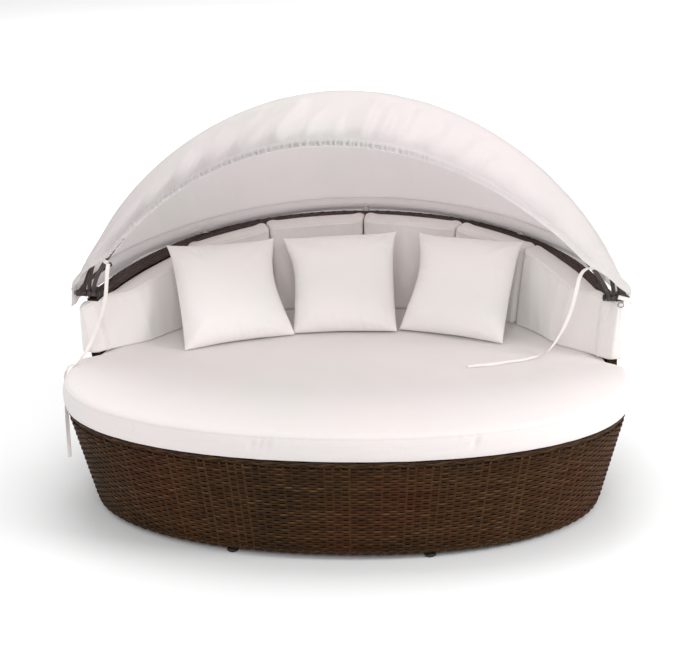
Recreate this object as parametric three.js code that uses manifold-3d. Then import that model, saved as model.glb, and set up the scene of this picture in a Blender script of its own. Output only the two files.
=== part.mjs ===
// Oval garden daybed with a folding canopy.
// Millimetres, +Z up, +X to the sitter's left-hand side as seen from the front, -Y to the front.
// The origin is on the floor under the middle of the outer box.
import * as THREE from 'three';
import { mergeVertices } from 'three/addons/utils/BufferGeometryUtils.js';
import Module from 'manifold-3d';

const wasm = await Module();
wasm.setup();

// ---------------------------------------------------------------- driving dimensions
const HALF_W = 930;            // half width of the oval plan
const DEPTH_FRONT = 520;       // half depth in front of the widest line
const DEPTH_BACK = 845;        // half depth behind the widest line
const YC = -163.2;             // the widest line, measured from the middle of the outer box
const OVAL_N = 2.1;            // superellipse exponent of the plan
const FOOT_W = 845;            // the same three at the floor end of the woven drum
const FOOT_FRONT = 500;
const FOOT_BACK = 765;
const BASE_TOP = 340;          // top of the woven drum
const BASE_BOTTOM = 20;        // lower edge of the woven drum
const SKIN = 5;                // thickness of the woven skin of the drum
const RAIL_R = 12.5;           // seat rail, round tube
const ARM_END = 212;           // front end of the arms, behind the widest line
const RIM_LOW = 600;           // rim height extrapolated to the widest line
const RIM_HIGH = 760;          // rim height at the middle of the back
const RIM_POWER = 1.3;
const WALL_OUT = 8;            // woven back wall: outer face, inset from the plan
const WALL_IN = 40;            // woven back wall: inner face, inset from the plan
const CUSHION_BOTTOM = 341;
const CUSHION_SIDE = 88;       // height of the seat cushion's boxed side
const CUSHION_CROWN = 10;
const SEAT_TOP = CUSHION_BOTTOM + CUSHION_SIDE;
const PIVOT_Y = YC + 172;      // canopy pivot
const PIVOT_Z = 648;
const BRACKET_X = 894;         // middle plane of the pivot plate
const BOW_R = 672;             // reach of every bow from the pivot line
const BOW_ROUND = 0.67;        // 1 is half an ellipse, 0 is a parabola
const FRONT_ROUND = 0.33;      // the front bow's legs lean further in, inside the cloth
const TUBE_R = 7;              // bow tube
const EYE_R = 11;              // bow eye around the pivot bolt
const EYE_W = 15.6;
const BOLT_R = 4;
const BORE_R = 4.5;
const ANG_FRONT = 116.7;       // bow angles, from the back, over the top
const ANG_MID_FRONT = 84;
const ANG_MID_REAR = 48;
const ANG_REAR = 12;
const X_FRONT = 867.6;         // eye positions on the pivot bolt
const X_MID_FRONT = 883.7;
const X_MID_REAR = 904.3;
const X_REAR = 920.4;
const FABRIC_T = 2.5;          // canopy cloth
const PILLOW = 380;            // side of a scatter cushion
const RING_BACK = 28;           // stations round the back half of the oval
const RING_FRONT = 20;          // and round the front half
const RING = RING_BACK + RING_FRONT;

// ---------------------------------------------------------------- colours
const mat = (hex, rough, metal = 0) => new THREE.MeshStandardMaterial({ color: hex, roughness: rough, metalness: metal });
const WICKER = mat(0x4a2e20, 0.62);
const WICKER_DARK = mat(0x3a251b, 0.6);
const FRAME = mat(0x4a403c, 0.45, 0.35);
const BOW_METAL = mat(0x463c39, 0.4, 0.4);
const STEEL = mat(0x6a6664, 0.35, 0.9);
const PLASTIC = mat(0x1d1b1a, 0.55);
const CUSHION = mat(0xefe8e5, 0.92);
const CANOPY = mat(0xece5e2, 0.9);
const TAPE = mat(0xf1ebe8, 0.9);

const group = new THREE.Group();
const V = (x, y, z) => new THREE.Vector3(x, y, z);

// ---------------------------------------------------------------- mesh helpers
function signedVolume(pos, idx) {
  let v = 0;
  for (let i = 0; i < idx.length; i += 3) {
    const [a, b, c] = [idx[i] * 3, idx[i + 1] * 3, idx[i + 2] * 3];
    v += pos[a] * (pos[b + 1] * pos[c + 2] - pos[b + 2] * pos[c + 1])
      - pos[a + 1] * (pos[b] * pos[c + 2] - pos[b + 2] * pos[c])
      + pos[a + 2] * (pos[b] * pos[c + 1] - pos[b + 1] * pos[c]);
  }
  return v / 6;
}

function geometryOf(points, idx) {
  const pos = new Float32Array(points.length * 3);
  points.forEach((p, i) => pos.set([p.x, p.y, p.z], i * 3));
  if (signedVolume(pos, idx) < 0) {
    for (let i = 0; i < idx.length; i += 3) [idx[i + 1], idx[i + 2]] = [idx[i + 2], idx[i + 1]];
  }
  const g = new THREE.BufferGeometry();
  g.setAttribute('position', new THREE.BufferAttribute(pos, 3));
  g.setIndex(idx);
  g.computeVertexNormals();
  return g;
}

// Closed body through sections of equal length. A loop joins the last section to the first;
// otherwise both ends are capped, by ear clipping of the 2D outline when one is given.
function loft(sections, { loop = false, outline = null } = {}) {
  const m = sections[0].length;
  const pts = sections.flat().map((p) => p.clone());
  const idx = [];
  const n = sections.length;
  for (let i = 0; i < (loop ? n : n - 1); i++) {
    const a = i * m;
    const b = ((i + 1) % n) * m;
    for (let j = 0; j < m; j++) {
      const k = (j + 1) % m;
      idx.push(a + j, b + j, b + k, a + j, b + k, a + k);
    }
  }
  if (!loop) {
    [[0, 1], [(n - 1) * m, -1]].forEach(([o, s]) => {
      if (outline) {
        const flat = outline.map((q) => new THREE.Vector2(q[0], q[1]));
        const ccw = !THREE.ShapeUtils.isClockWise(flat);
        THREE.ShapeUtils.triangulateShape(flat, []).forEach((t) => {
          const tri = (ccw ? 1 : 1) * s > 0 ? [t[0], t[2], t[1]] : t;
          idx.push(o + tri[0], o + tri[1], o + tri[2]);
        });
      } else {
        const c = new THREE.Vector3();
        for (let j = 0; j < m; j++) c.add(pts[o + j]);
        c.divideScalar(m);
        const ci = pts.push(c) - 1;
        for (let j = 0; j < m; j++) {
          const k = (j + 1) % m;
          if (s > 0) idx.push(ci, o + j, o + k);
          else idx.push(ci, o + k, o + j);
        }
      }
    });
  }
  // caps must wind against the sides they meet
  return fixWinding(pts, idx);
}

// Makes every triangle agree with its neighbours, then turns the whole body outwards.
function fixWinding(pts, idx) {
  const tri = idx.length / 3;
  const edges = new Map();
  for (let t = 0; t < tri; t++) {
    for (let e = 0; e < 3; e++) {
      const a = idx[t * 3 + e];
      const b = idx[t * 3 + ((e + 1) % 3)];
      const k = a < b ? a * 1e6 + b : b * 1e6 + a;
      if (!edges.has(k)) edges.set(k, []);
      edges.get(k).push([t, a < b]);
    }
  }
  const flip = new Int8Array(tri).fill(-1);
  flip[0] = 0;
  const queue = [0];
  while (queue.length) {
    const t = queue.pop();
    for (let e = 0; e < 3; e++) {
      const a = idx[t * 3 + e];
      const b = idx[t * 3 + ((e + 1) % 3)];
      const k = a < b ? a * 1e6 + b : b * 1e6 + a;
      const mine = a < b;
      edges.get(k).forEach(([u, dir]) => {
        if (u === t || flip[u] >= 0) return;
        flip[u] = mine === dir ? 1 - flip[t] : flip[t];
        queue.push(u);
      });
    }
  }
  for (let t = 0; t < tri; t++) {
    if (flip[t] === 1) [idx[t * 3 + 1], idx[t * 3 + 2]] = [idx[t * 3 + 2], idx[t * 3 + 1]];
  }
  return geometryOf(pts, idx);
}

function toSolid(geometry) {
  let g = geometry.clone();
  g.deleteAttribute('normal');
  g.deleteAttribute('uv');
  g = mergeVertices(g, 1e-3);
  return new wasm.Manifold(new wasm.Mesh({
    numProp: 3,
    vertProperties: new Float32Array(g.attributes.position.array),
    triVerts: new Uint32Array(g.index.array),
  }));
}

function fromSolid(solid) {
  const mesh = solid.getMesh();
  const g = new THREE.BufferGeometry();
  g.setAttribute('position', new THREE.BufferAttribute(new Float32Array(mesh.vertProperties), 3));
  g.setIndex(Array.from(mesh.triVerts));
  g.computeVertexNormals();
  return g;
}

const join = (list) => fromSolid(list.map(toSolid).reduce((a, b) => a.add(b)));

function add(name, geometry, material) {
  const mesh = new THREE.Mesh(geometry, material);
  mesh.name = name;
  group.add(mesh);
  return mesh;
}

// Round bar along a line of points, closed at both ends or joined into a loop.
function bar(points, radius, sides, loop = false) {
  const n = points.length;
  const sections = [];
  let normal = null;
  for (let i = 0; i < n; i++) {
    const a = points[loop ? (i - 1 + n) % n : Math.max(i - 1, 0)];
    const b = points[loop ? (i + 1) % n : Math.min(i + 1, n - 1)];
    const t = b.clone().sub(a).normalize();
    if (!normal) normal = Math.abs(t.z) < 0.9 ? V(0, 0, 1) : V(1, 0, 0);
    normal = normal.clone().addScaledVector(t, -normal.dot(t)).normalize();
    const side = t.clone().cross(normal);
    const ring = [];
    for (let k = 0; k < sides; k++) {
      const w = ((k + 0.5) / sides) * Math.PI * 2;
      ring.push(points[i].clone().addScaledVector(normal, Math.cos(w) * radius).addScaledVector(side, Math.sin(w) * radius));
    }
    sections.push(ring);
  }
  return loft(sections, { loop });
}

// Cylinder along X between two x values.
function cylX(x0, x1, y, z, r, sides) {
  const g = new THREE.CylinderGeometry(r, r, Math.abs(x1 - x0), sides);
  g.rotateZ(Math.PI / 2);
  g.translate((x0 + x1) / 2, y, z);
  return g;
}

function box(cx, cy, cz, sx, sy, sz) {
  const g = new THREE.BoxGeometry(sx, sy, sz);
  g.translate(cx, cy, cz);
  return g;
}

// ---------------------------------------------------------------- the oval plan
const signPow = (v, e) => Math.sign(v) * Math.abs(v) ** e;

function ovalPoint(th, a, bf, bb) {
  const s = Math.sin(th);
  return new THREE.Vector2(a * signPow(Math.cos(th), 2 / OVAL_N), YC + (s < 0 ? bf : bb) * signPow(s, 2 / OVAL_N));
}

// Angles of stations at even spacing along one half of the oval, from th0 to th0 + pi.
function evenAngles(th0, count) {
  const fine = 3600;
  const len = [0];
  let last = ovalPoint(th0, HALF_W, DEPTH_FRONT, DEPTH_BACK);
  for (let i = 1; i <= fine; i++) {
    const p = ovalPoint(th0 + (i / fine) * Math.PI, HALF_W, DEPTH_FRONT, DEPTH_BACK);
    len.push(len[i - 1] + p.distanceTo(last));
    last = p;
  }
  const out = [];
  let k = 0;
  for (let i = 0; i < count; i++) {
    const want = (i / count) * len[fine];
    while (len[k + 1] < want) k++;
    out.push(th0 + ((k + (want - len[k]) / (len[k + 1] - len[k])) / fine) * Math.PI);
  }
  return out;
}
const RING_ANGLES = [...evenAngles(0, RING_BACK), ...evenAngles(Math.PI, RING_FRONT)];

// Point of the plan at height z, set in by d along the inward normal.
function planAt(th, d, z = BASE_TOP) {
  const t = Math.min(1, Math.max(0, (z - BASE_BOTTOM) / (BASE_TOP - BASE_BOTTOM)));
  const a = FOOT_W + (HALF_W - FOOT_W) * t;
  const bf = FOOT_FRONT + (DEPTH_FRONT - FOOT_FRONT) * t;
  const bb = FOOT_BACK + (DEPTH_BACK - FOOT_BACK) * t;
  const e = 0.004;
  const p = ovalPoint(th, a, bf, bb);
  const q = ovalPoint(th + e, a, bf, bb).sub(ovalPoint(th - e, a, bf, bb)).normalize();
  return V(p.x - q.y * d, p.y + q.x * d, z);
}

const rimHeight = (y) => RIM_LOW + (RIM_HIGH - RIM_LOW) * (Math.max(0, y - YC) / DEPTH_BACK) ** RIM_POWER;

// Ring of sections (d, z) all round the oval.
function ringLoft(section, angles = RING_ANGLES) {
  return loft(angles.map((th) => section(th).map(([d, z]) => planAt(th, d, z))), { loop: true });
}

// Angle at which the plan reaches y, on the +X side.
function angleAtY(y) {
  let lo = 0;
  let hi = Math.PI / 2;
  for (let i = 0; i < 60; i++) {
    const mid = (lo + hi) / 2;
    if (ovalPoint(mid, HALF_W, DEPTH_FRONT, DEPTH_BACK).y < y) lo = mid;
    else hi = mid;
  }
  return (lo + hi) / 2;
}

const TH_ARM = angleAtY(YC + ARM_END);
// Stations of the back wall, from the +X arm end round the back to the -X arm end.
const WALL_ANGLES = [TH_ARM, ...RING_ANGLES.filter((t) => t > TH_ARM + 0.03 && t < Math.PI - TH_ARM - 0.03), Math.PI - TH_ARM];

function wallLoft(section, angles = WALL_ANGLES) {
  const outline = section(Math.PI / 2, RIM_HIGH);
  return loft(angles.map((th) => {
    const rim = rimHeight(planAt(th, WALL_OUT).y);
    return section(th, rim).map(([d, z]) => {
      const p = planAt(th, d);
      return V(p.x, p.y, z);
    });
  }), { outline });
}

// ---------------------------------------------------------------- base
const RAIL_Z = BASE_TOP - 19.5;
const RAIL_D = 23;
const LOW_Z = 50;
const LOW_D = 26;
const LOW_R = 10;

add('base_seat_rail', bar(RING_ANGLES.map((th) => planAt(th, RAIL_D, RAIL_Z)), RAIL_R, 6, true), FRAME);
add('base_floor_rail', bar(RING_ANGLES.map((th) => planAt(th, LOW_D, LOW_Z)), LOW_R, 6, true), FRAME);

// uprights between the two rails, their ends cut to the tubes
[['rear_left', 4], ['rear_right', 24], ['front_right', 32], ['front_left', 44]].forEach(([name, k]) => {
  const th = RING_ANGLES[k];
  const a = planAt(th, LOW_D, LOW_Z);
  const b = planAt(th, RAIL_D, RAIL_Z);
  const way = b.clone().sub(a).normalize();
  add(`base_upright_${name}`, bar([a.clone().addScaledVector(way, LOW_R + 0.6), b.clone().addScaledVector(way, -RAIL_R - 0.6)], 8, 8), FRAME);
});

// cross bars under the deck, hung between the sides of the seat rail
[['left', 450], ['middle', 0], ['right', -450]].forEach(([name, x]) => {
  const k = ((Math.abs(x) + 15) / (HALF_W - RAIL_D)) ** OVAL_N;
  const y0 = YC - (DEPTH_FRONT - RAIL_D) * (1 - k) ** (1 / OVAL_N) + RAIL_R + 9;
  const y1 = YC + (DEPTH_BACK - RAIL_D) * (1 - k) ** (1 / OVAL_N) - RAIL_R - 9;
  add(`base_cross_bar_${name}`, box(x, (y0 + y1) / 2, RAIL_Z + 2.5, 30, y1 - y0, 20), FRAME);
});

add('base_wicker', ringLoft(() => [
  [0, BASE_BOTTOM + 17], [SKIN, BASE_BOTTOM + 17], [SKIN + 0.6, 180], [SKIN + 3.6, BASE_TOP - 23.2],
  [3.6, BASE_TOP - 23.2], [0.6, 180],
]), WICKER);

add('base_rim_border', ringLoft(() => [
  [0.5, BASE_TOP - 22], [4.5, BASE_TOP - 22], [4.5, BASE_TOP - 5.5], [38, BASE_TOP - 5.5], [38, BASE_TOP], [3.5, BASE_TOP], [0.5, BASE_TOP - 3],
]), WICKER_DARK);

add('base_foot_border', ringLoft(() => [
  [-1, BASE_BOTTOM + 2], [1, BASE_BOTTOM], [15, BASE_BOTTOM], [15, BASE_BOTTOM + 16], [-1, BASE_BOTTOM + 16],
]), WICKER_DARK);

{
  const ring = (z, d) => RING_ANGLES.map((th) => { const p = planAt(th, d); return V(p.x, p.y, z); });
  add('seat_deck', loft([ring(BASE_TOP - 6.4, 40), ring(BASE_TOP - 0.4, 40)]), WICKER);
}

// levelling feet, screwed up against the lower ring
[['foot_front_left', 41], ['foot_front_right', 35], ['foot_side_left', 0], ['foot_side_right', 28], ['foot_rear_left', 8], ['foot_rear_right', 20]].forEach(([name, k]) => {
  const p = planAt(RING_ANGLES[k], 25, 28);
  const h = LOW_Z - LOW_R - 0.6;
  const g = new THREE.LatheGeometry([[0, 0], [15, 0], [18, 3], [18, 9], [9, 14], [6, 16], [6, h], [0, h]].map((q) => new THREE.Vector2(q[0], q[1])), 10);
  g.rotateX(Math.PI / 2);
  g.translate(p.x, p.y, 0);
  add(name, fromSolid(toSolid(g)), PLASTIC);
});

// ---------------------------------------------------------------- backrest
const BACK_RAIL_R = 10;
const BACK_D = 24;
{
  const inner = WALL_ANGLES.slice();
  const eps = 0.028;
  inner[0] += eps;
  inner[inner.length - 1] -= eps;
  const rail = (z) => inner.map((th) => {
    const p = planAt(th, BACK_D);
    return V(p.x, p.y, z === null ? rimHeight(p.y) - 18 : z);
  });
  const pieces = [bar(rail(null), BACK_RAIL_R, 6), bar(rail(BASE_TOP + 13.5), BACK_RAIL_R, 6)];
  const n = inner.length - 1;
  for (let i = 0; i <= 8; i++) {
    const th = inner[Math.round((i / 8) * n)];
    const shift = i === 0 ? 0.012 : i === 8 ? -0.012 : 0;
    const p = planAt(th + shift, BACK_D);
    pieces.push(bar([V(p.x, p.y, BASE_TOP + 13.5), V(p.x, p.y, rimHeight(p.y) - 18)], 8, 6));
  }
  add('back_frame', join(pieces), FRAME);
}

add('back_wicker_outer', wallLoft((th, rim) => [[WALL_OUT, BASE_TOP + 1.5], [WALL_OUT + 4, BASE_TOP + 1.5], [WALL_OUT + 4, rim - 5], [WALL_OUT, rim - 5]]), WICKER);
add('back_wicker_inner', wallLoft((th, rim) => [[WALL_IN - 4, BASE_TOP + 1.5], [WALL_IN, BASE_TOP + 1.5], [WALL_IN, rim - 5], [WALL_IN - 4, rim - 5]]), WICKER);
add('back_rim_wrap', wallLoft((th, rim) => [
  [WALL_OUT - 4, rim - 26], [WALL_OUT - 1, rim - 26], [WALL_OUT - 1, rim - 3.5], [WALL_IN + 1, rim - 3.5], [WALL_IN + 1, rim - 26], [WALL_IN + 4, rim - 26],
  [WALL_IN + 4, rim - 4], [WALL_IN, rim], [WALL_OUT, rim], [WALL_OUT - 4, rim - 4],
]), WICKER_DARK);

// woven front ends of the arms
[['arm_end_left', 1], ['arm_end_right', -1]].forEach(([name, side]) => {
  const sections = [];
  [0.0045, 0.013].forEach((back) => {
    const th = side > 0 ? TH_ARM - back : Math.PI - TH_ARM + back;
    const top = rimHeight(planAt(th, BACK_D).y);
    sections.push([[WALL_OUT - 3, BASE_TOP + 1.5], [WALL_IN + 3, BASE_TOP + 1.5], [WALL_IN + 3, top - 4], [WALL_IN, top - 0.5], [WALL_OUT, top - 0.5], [WALL_OUT - 3, top - 4]].map(([d, z]) => {
      const p = planAt(th, d);
      return V(p.x, p.y, z);
    }));
  });
  add(name, loft(sections), WICKER_DARK);
});

// ---------------------------------------------------------------- canopy pivots
const PIV = (name, side) => {
  const s = side;
  const X = (x) => s * x;
  const rimY = PIVOT_Y + 62;
  const slope = Math.atan((rimHeight(rimY + 20) - rimHeight(rimY - 20)) / 40);
  // foot plate lies on the sloping rim, the upright plate stands on it
  const foot = new THREE.BoxGeometry(30, 62, 3);
  foot.rotateX(slope);
  foot.translate(X(BRACKET_X - 6), rimY, rimHeight(rimY) + 4.2);
  const shape = new THREE.Shape();
  shape.moveTo(PIVOT_Y + 34, rimHeight(PIVOT_Y + 34) + 4.2);
  shape.lineTo(rimY + 26, rimHeight(rimY + 26) + 4.2);
  // the arm runs low, so the folded bows pass above it
  shape.lineTo(rimY + 26, rimHeight(rimY + 26) + 7.5);
  shape.lineTo(PIVOT_Y + 30, PIVOT_Z - 7);
  shape.lineTo(PIVOT_Y + 19, PIVOT_Z - 3);
  shape.absarc(PIVOT_Y, PIVOT_Z, 13.2, 0.25, Math.PI + 0.9, false);
  const plate = new THREE.ExtrudeGeometry(shape, { depth: 4, bevelEnabled: false, curveSegments: 10 });
  // shape x,y stand for the part's y,z
  plate.applyMatrix4(new THREE.Matrix4().makeBasis(V(0, 1, 0), V(0, 0, 1), V(1, 0, 0)));
  plate.translate(X(BRACKET_X) - 2, 0, 0);
  const hole = cylX(X(BRACKET_X) - 6, X(BRACKET_X) + 6, PIVOT_Y, PIVOT_Z, BORE_R, 12);
  add(`pivot_bracket_${name}`, fromSolid(toSolid(plate).add(toSolid(foot)).subtract(toSolid(hole))), FRAME);
  // bolt with hexagon head outside
  const shank = cylX(X(X_FRONT - EYE_W / 2 - 13), X(X_REAR + EYE_W / 2 + 4), PIVOT_Y, PIVOT_Z, BOLT_R, 12);
  const head = cylX(X(X_REAR + EYE_W / 2 + 2.3), X(X_REAR + EYE_W / 2 + 7.8), PIVOT_Y, PIVOT_Z, 7.5, 6);
  add(`pivot_bolt_${name}`, join([shank, head]), STEEL);
  const washer = toSolid(cylX(X(X_REAR + EYE_W / 2 + 0.4), X(X_REAR + EYE_W / 2 + 1.9), PIVOT_Y, PIVOT_Z, 9.5, 12));
  const wHole = toSolid(cylX(X(X_REAR), X(X_REAR + 20), PIVOT_Y, PIVOT_Z, BORE_R, 12));
  add(`pivot_washer_${name}`, fromSolid(washer.subtract(wHole)), STEEL);
  // lobed hand knob inside
  const knobShape = new THREE.Shape();
  for (let i = 0; i <= 30; i++) {
    const w = (i / 30) * Math.PI * 2;
    const r = 10.4 + 1.3 * Math.cos(5 * w);
    if (i) knobShape.lineTo(r * Math.cos(w), r * Math.sin(w));
    else knobShape.moveTo(r, 0);
  }
  const knob = new THREE.ExtrudeGeometry(knobShape, { depth: 10.4, bevelEnabled: false });
  knob.applyMatrix4(new THREE.Matrix4().makeBasis(V(0, 1, 0), V(0, 0, 1), V(1, 0, 0)));
  const k0 = X_FRONT - EYE_W / 2 - 0.8;
  knob.translate(s > 0 ? k0 - 11 : -k0 + 0.6, PIVOT_Y, PIVOT_Z);
  const kHole = cylX(X(k0 - 14), X(k0 + 2), PIVOT_Y, PIVOT_Z, BORE_R, 12);
  add(`pivot_knob_${name}`, fromSolid(toSolid(knob).subtract(toSolid(kHole))), PLASTIC);
};
PIV('left', 1);
PIV('right', -1);

// ---------------------------------------------------------------- bows
const bowReach = (u, round = BOW_ROUND) => BOW_R * (round * Math.sqrt(Math.max(0, 1 - u * u)) + (1 - round) * (1 - u * u));

// Points (x, reach) along a bow from -X to +X at even spacing, starting at reach r0.
function bowLine(half, count, r0, out = 0, round = BOW_ROUND) {
  const fine = [];
  for (let i = 0; i <= 4000; i++) {
    const u = Math.cos(Math.PI * (1 - i / 4000));
    fine.push(new THREE.Vector2(half * u, bowReach(u, round)));
  }
  const kept = fine.filter((p) => p.y >= r0);
  const len = [0];
  for (let i = 1; i < kept.length; i++) len.push(len[i - 1] + kept[i].distanceTo(kept[i - 1]));
  const line = [];
  let k = 0;
  for (let i = 0; i < count; i++) {
    const want = (i / (count - 1)) * len[len.length - 1] * 0.999999;
    while (len[k + 1] < want) k++;
    const p = kept[k].clone().lerp(kept[k + 1], (want - len[k]) / (len[k + 1] - len[k]));
    const a = kept[Math.max(0, k - 12)];
    const b = kept[Math.min(kept.length - 1, k + 12)];
    const t = b.clone().sub(a).normalize();
    line.push(new THREE.Vector2(p.x - t.y * out, p.y + t.x * out));
  }
  return line;
}

const onAngle = (x, r, deg) => {
  const w = (deg * Math.PI) / 180;
  return V(x, PIVOT_Y + r * Math.cos(w), PIVOT_Z + r * Math.sin(w));
};

function bow(name, half, deg, round = BOW_ROUND) {
  const line = bowLine(half, 33, 8, 0, round).map((p) => onAngle(p.x, p.y, deg));
  let solid = toSolid(bar(line, TUBE_R, 8));
  [-1, 1].forEach((s) => {
    solid = solid.add(toSolid(cylX(s * half - EYE_W / 2, s * half + EYE_W / 2, PIVOT_Y, PIVOT_Z, EYE_R, 14)));
  });
  [-1, 1].forEach((s) => {
    solid = solid.subtract(toSolid(cylX(s * half - 20, s * half + 20, PIVOT_Y, PIVOT_Z, BORE_R, 12)));
  });
  add(name, fromSolid(solid), BOW_METAL);
}
bow('canopy_bow_front', X_FRONT, ANG_FRONT, FRONT_ROUND);
bow('canopy_bow_mid_front', X_MID_FRONT, ANG_MID_FRONT);
bow('canopy_bow_mid_rear', X_MID_REAR, ANG_MID_REAR);
bow('canopy_bow_rear', X_REAR, ANG_REAR);

// clips that hold the rear bow just above the rim
[['rear_clip_centre', 0], ['rear_clip_left', 1], ['rear_clip_right', -1]].forEach(([name, s]) => {
  const u = s * 0.62;
  const c = onAngle(X_REAR * u, bowReach(u), ANG_REAR);
  const du = 0.01;
  const t = onAngle(X_REAR * (u + du), bowReach(u + du), ANG_REAR).sub(onAngle(X_REAR * (u - du), bowReach(u - du), ANG_REAR)).normalize();
  const flat = V(t.x, t.y, 0).normalize();
  const across = V(flat.y, -flat.x, 0);
  // saddle round the tube, open at the top, on a stem that reaches the rim
  const outline = [];
  for (let i = 0; i <= 10; i++) {
    const w = Math.PI * 0.9 + (i / 10) * Math.PI * 1.2;
    outline.push([Math.cos(w) * 9.6, Math.sin(w) * 9.6]);
  }
  for (let i = 10; i >= 0; i--) {
    const w = Math.PI * 0.9 + (i / 10) * Math.PI * 1.2;
    outline.push([Math.cos(w) * 7.6, Math.sin(w) * 7.6]);
  }
  const sec = (k) => outline.map(([a, b]) => c.clone().addScaledVector(t, k).addScaledVector(across, a).add(V(0, 0, b)));
  const saddle = loft([sec(-9), sec(9)], { outline });
  const mid = nearestRim(c);
  const tilt = mid.z + (s ? 4.6 : 1.2);
  const h = c.z - 8.6 - tilt;
  const stem = new THREE.BoxGeometry(14, 9, h);
  stem.translate(0, 0, h / 2);
  const plate = new THREE.BoxGeometry(30, 12, 2.5);
  plate.translate(0, 0, 1.25);
  const turn = Math.atan2(flat.y, flat.x);
  [stem, plate].forEach((g) => { g.rotateZ(turn); });
  // the stem stands on the middle of the rim, under the tube
  const lean = V(mid.x - c.x, mid.y - c.y, 0).clampLength(0, 4);
  [stem, plate].forEach((g) => g.translate(c.x + lean.x, c.y + lean.y, 0));
  stem.translate(0, 0, tilt);
  plate.translate(0, 0, tilt);
  add(name, join([saddle, stem, plate]), PLASTIC);
});

function nearestRim(c) {
  let best = null;
  for (let i = 0; i <= 2000; i++) {
    const p = planAt((i / 2000) * Math.PI, BACK_D);
    const d = Math.hypot(p.x - c.x, p.y - c.y);
    if (!best || d < best.d) best = { d, x: p.x, y: p.y, z: rimHeight(planAt((i / 2000) * Math.PI, WALL_OUT).y) };
  }
  return V(best.x, best.y, best.z);
}

// ---------------------------------------------------------------- canopy cloth
// One panel spans two bows; it follows the bow line set out past the tubes.
function panel(name, halfA, degA, halfB, degB, fractions, cols = 25) {
  const steps = fractions.length - 1;
  const lineA = bowLine(halfA, cols, 40, TUBE_R + (typeof degA === 'number' ? 5 : 8.5));
  const lineB = bowLine(halfB, cols, 40, TUBE_R + 5);
  const gridAt = (grow) => {
    const rows = [];
    for (let j = 0; j <= steps; j++) {
      const f = fractions[j];
      const row = [];
      for (let i = 0; i < cols; i++) {
        const x = lineA[i].x + (lineB[i].x - lineA[i].x) * f;
        const r = lineA[i].y + (lineB[i].y - lineA[i].y) * f;
        const u = THREE.MathUtils.clamp((i / (cols - 1)) * 2 - 1, -1, 1);
        const a = typeof degA === 'number' ? degA : degA(lineA[i].y);
        const deg = a + (degB - a) * f;
        const sag = Math.sin(Math.PI * f * f) * 10 * (1 - u * u);
        row.push(onAngle(x * (1 + grow / 900), r + grow - sag, deg));
      }
      rows.push(row);
    }
    return rows;
  };
  const outer = gridAt(FABRIC_T);
  const inner = gridAt(0);
  const sections = outer.map((row, j) => [...row, ...inner[j].slice().reverse()]);
  const pts = sections.flat();
  const m = sections[0].length;
  const idx = [];
  for (let j = 0; j < sections.length - 1; j++) {
    for (let i = 0; i < m; i++) {
      const a = j * m + i;
      const b = j * m + ((i + 1) % m);
      idx.push(a, a + m, b + m, a, b + m, b);
    }
  }
  // the two long edges
  [0, sections.length - 1].forEach((j) => {
    for (let i = 0; i < cols - 1; i++) {
      const a = j * m + i;
      const d = j * m + (m - 1 - i);
      idx.push(a, a + 1, d - 1, a, d - 1, d);
    }
  });
  add(name, fixWinding(pts, idx), CANOPY);
}
const SEAM = 0.25;
// the rear edge of the cloth hangs down to just above the rim
const skirt = (r) => {
  const rim = rimHeight(PIVOT_Y + r * 0.99) + 12 - PIVOT_Z;
  return THREE.MathUtils.clamp((Math.asin(rim / r) * 180) / Math.PI, r < 130 ? 6 : 2.5, ANG_REAR - 2.4);
};
panel('canopy_panel_rear', X_REAR, skirt, X_MID_REAR, ANG_MID_REAR - SEAM, [0, 0.14, 0.34, 0.56, 0.78, 1]);
panel('canopy_panel_middle', X_MID_REAR, ANG_MID_REAR + SEAM, X_MID_FRONT, ANG_MID_FRONT - SEAM, [0, 0.25, 0.5, 0.75, 1]);
panel('canopy_panel_front', X_MID_FRONT, ANG_MID_FRONT + SEAM, X_FRONT, ANG_FRONT - SEAM, [0, 0.25, 0.5, 0.75, 1]);
panel('canopy_hem', X_FRONT, ANG_FRONT + SEAM, X_FRONT - 4, ANG_FRONT + 3.4, [0, 1]);

// ---------------------------------------------------------------- cushions
// Seat cushion: full oval in front of the arms, inside the wall behind them.
const cushionInset = (th) => {
  const y = planAt(th, 0).y - YC;
  const f = THREE.MathUtils.smoothstep(y, ARM_END - 110, ARM_END - 34);
  return -6 + 54 * f;
};
{
  // extra stations where the outline steps in past the arm ends
  const steps = [75, 95, 113, 131, 151, 172].map((y) => angleAtY(YC + y));
  const extra = [...steps, ...steps.map((t) => Math.PI - t)];
  const angles = [...RING_ANGLES.filter((t) => extra.every((e) => Math.abs(e - t) > 0.012)), ...extra].sort((a, b) => a - b);
  const ring = (z, inset) => angles.map((th) => { const p = planAt(th, cushionInset(th) + inset); return V(p.x, p.y, z); });
  add('seat_cushion', loft([
    ring(CUSHION_BOTTOM, 14), ring(CUSHION_BOTTOM + 9, 3), ring(CUSHION_BOTTOM + 30, 0), ring(SEAT_TOP - 30, 0), ring(SEAT_TOP - 9, 3),
    ring(SEAT_TOP, 14), ring(SEAT_TOP + 4, 70), ring(SEAT_TOP + CUSHION_CROWN, 260),
  ]), CUSHION);
}

// Wall cushions: (inset of the face, height) along the wall.
const SEAT_CLEAR = SEAT_TOP + CUSHION_CROWN + 2;
// inset of the cushions' faces from the plan, by distance behind the widest line
const FACE = [[120, 46], [158, 50], [200, 76], [250, 108], [300, 140], [350, 165], [420, 172], [618, 164], [845, 188]];
const faceInset = (y) => {
  let i = 0;
  while (i < FACE.length - 2 && y > FACE[i + 1][0]) i++;
  const f = THREE.MathUtils.clamp((y - FACE[i][0]) / (FACE[i + 1][0] - FACE[i][0]), 0, 1);
  return FACE[i][1] + (FACE[i + 1][1] - FACE[i][1]) * f;
};

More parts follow.
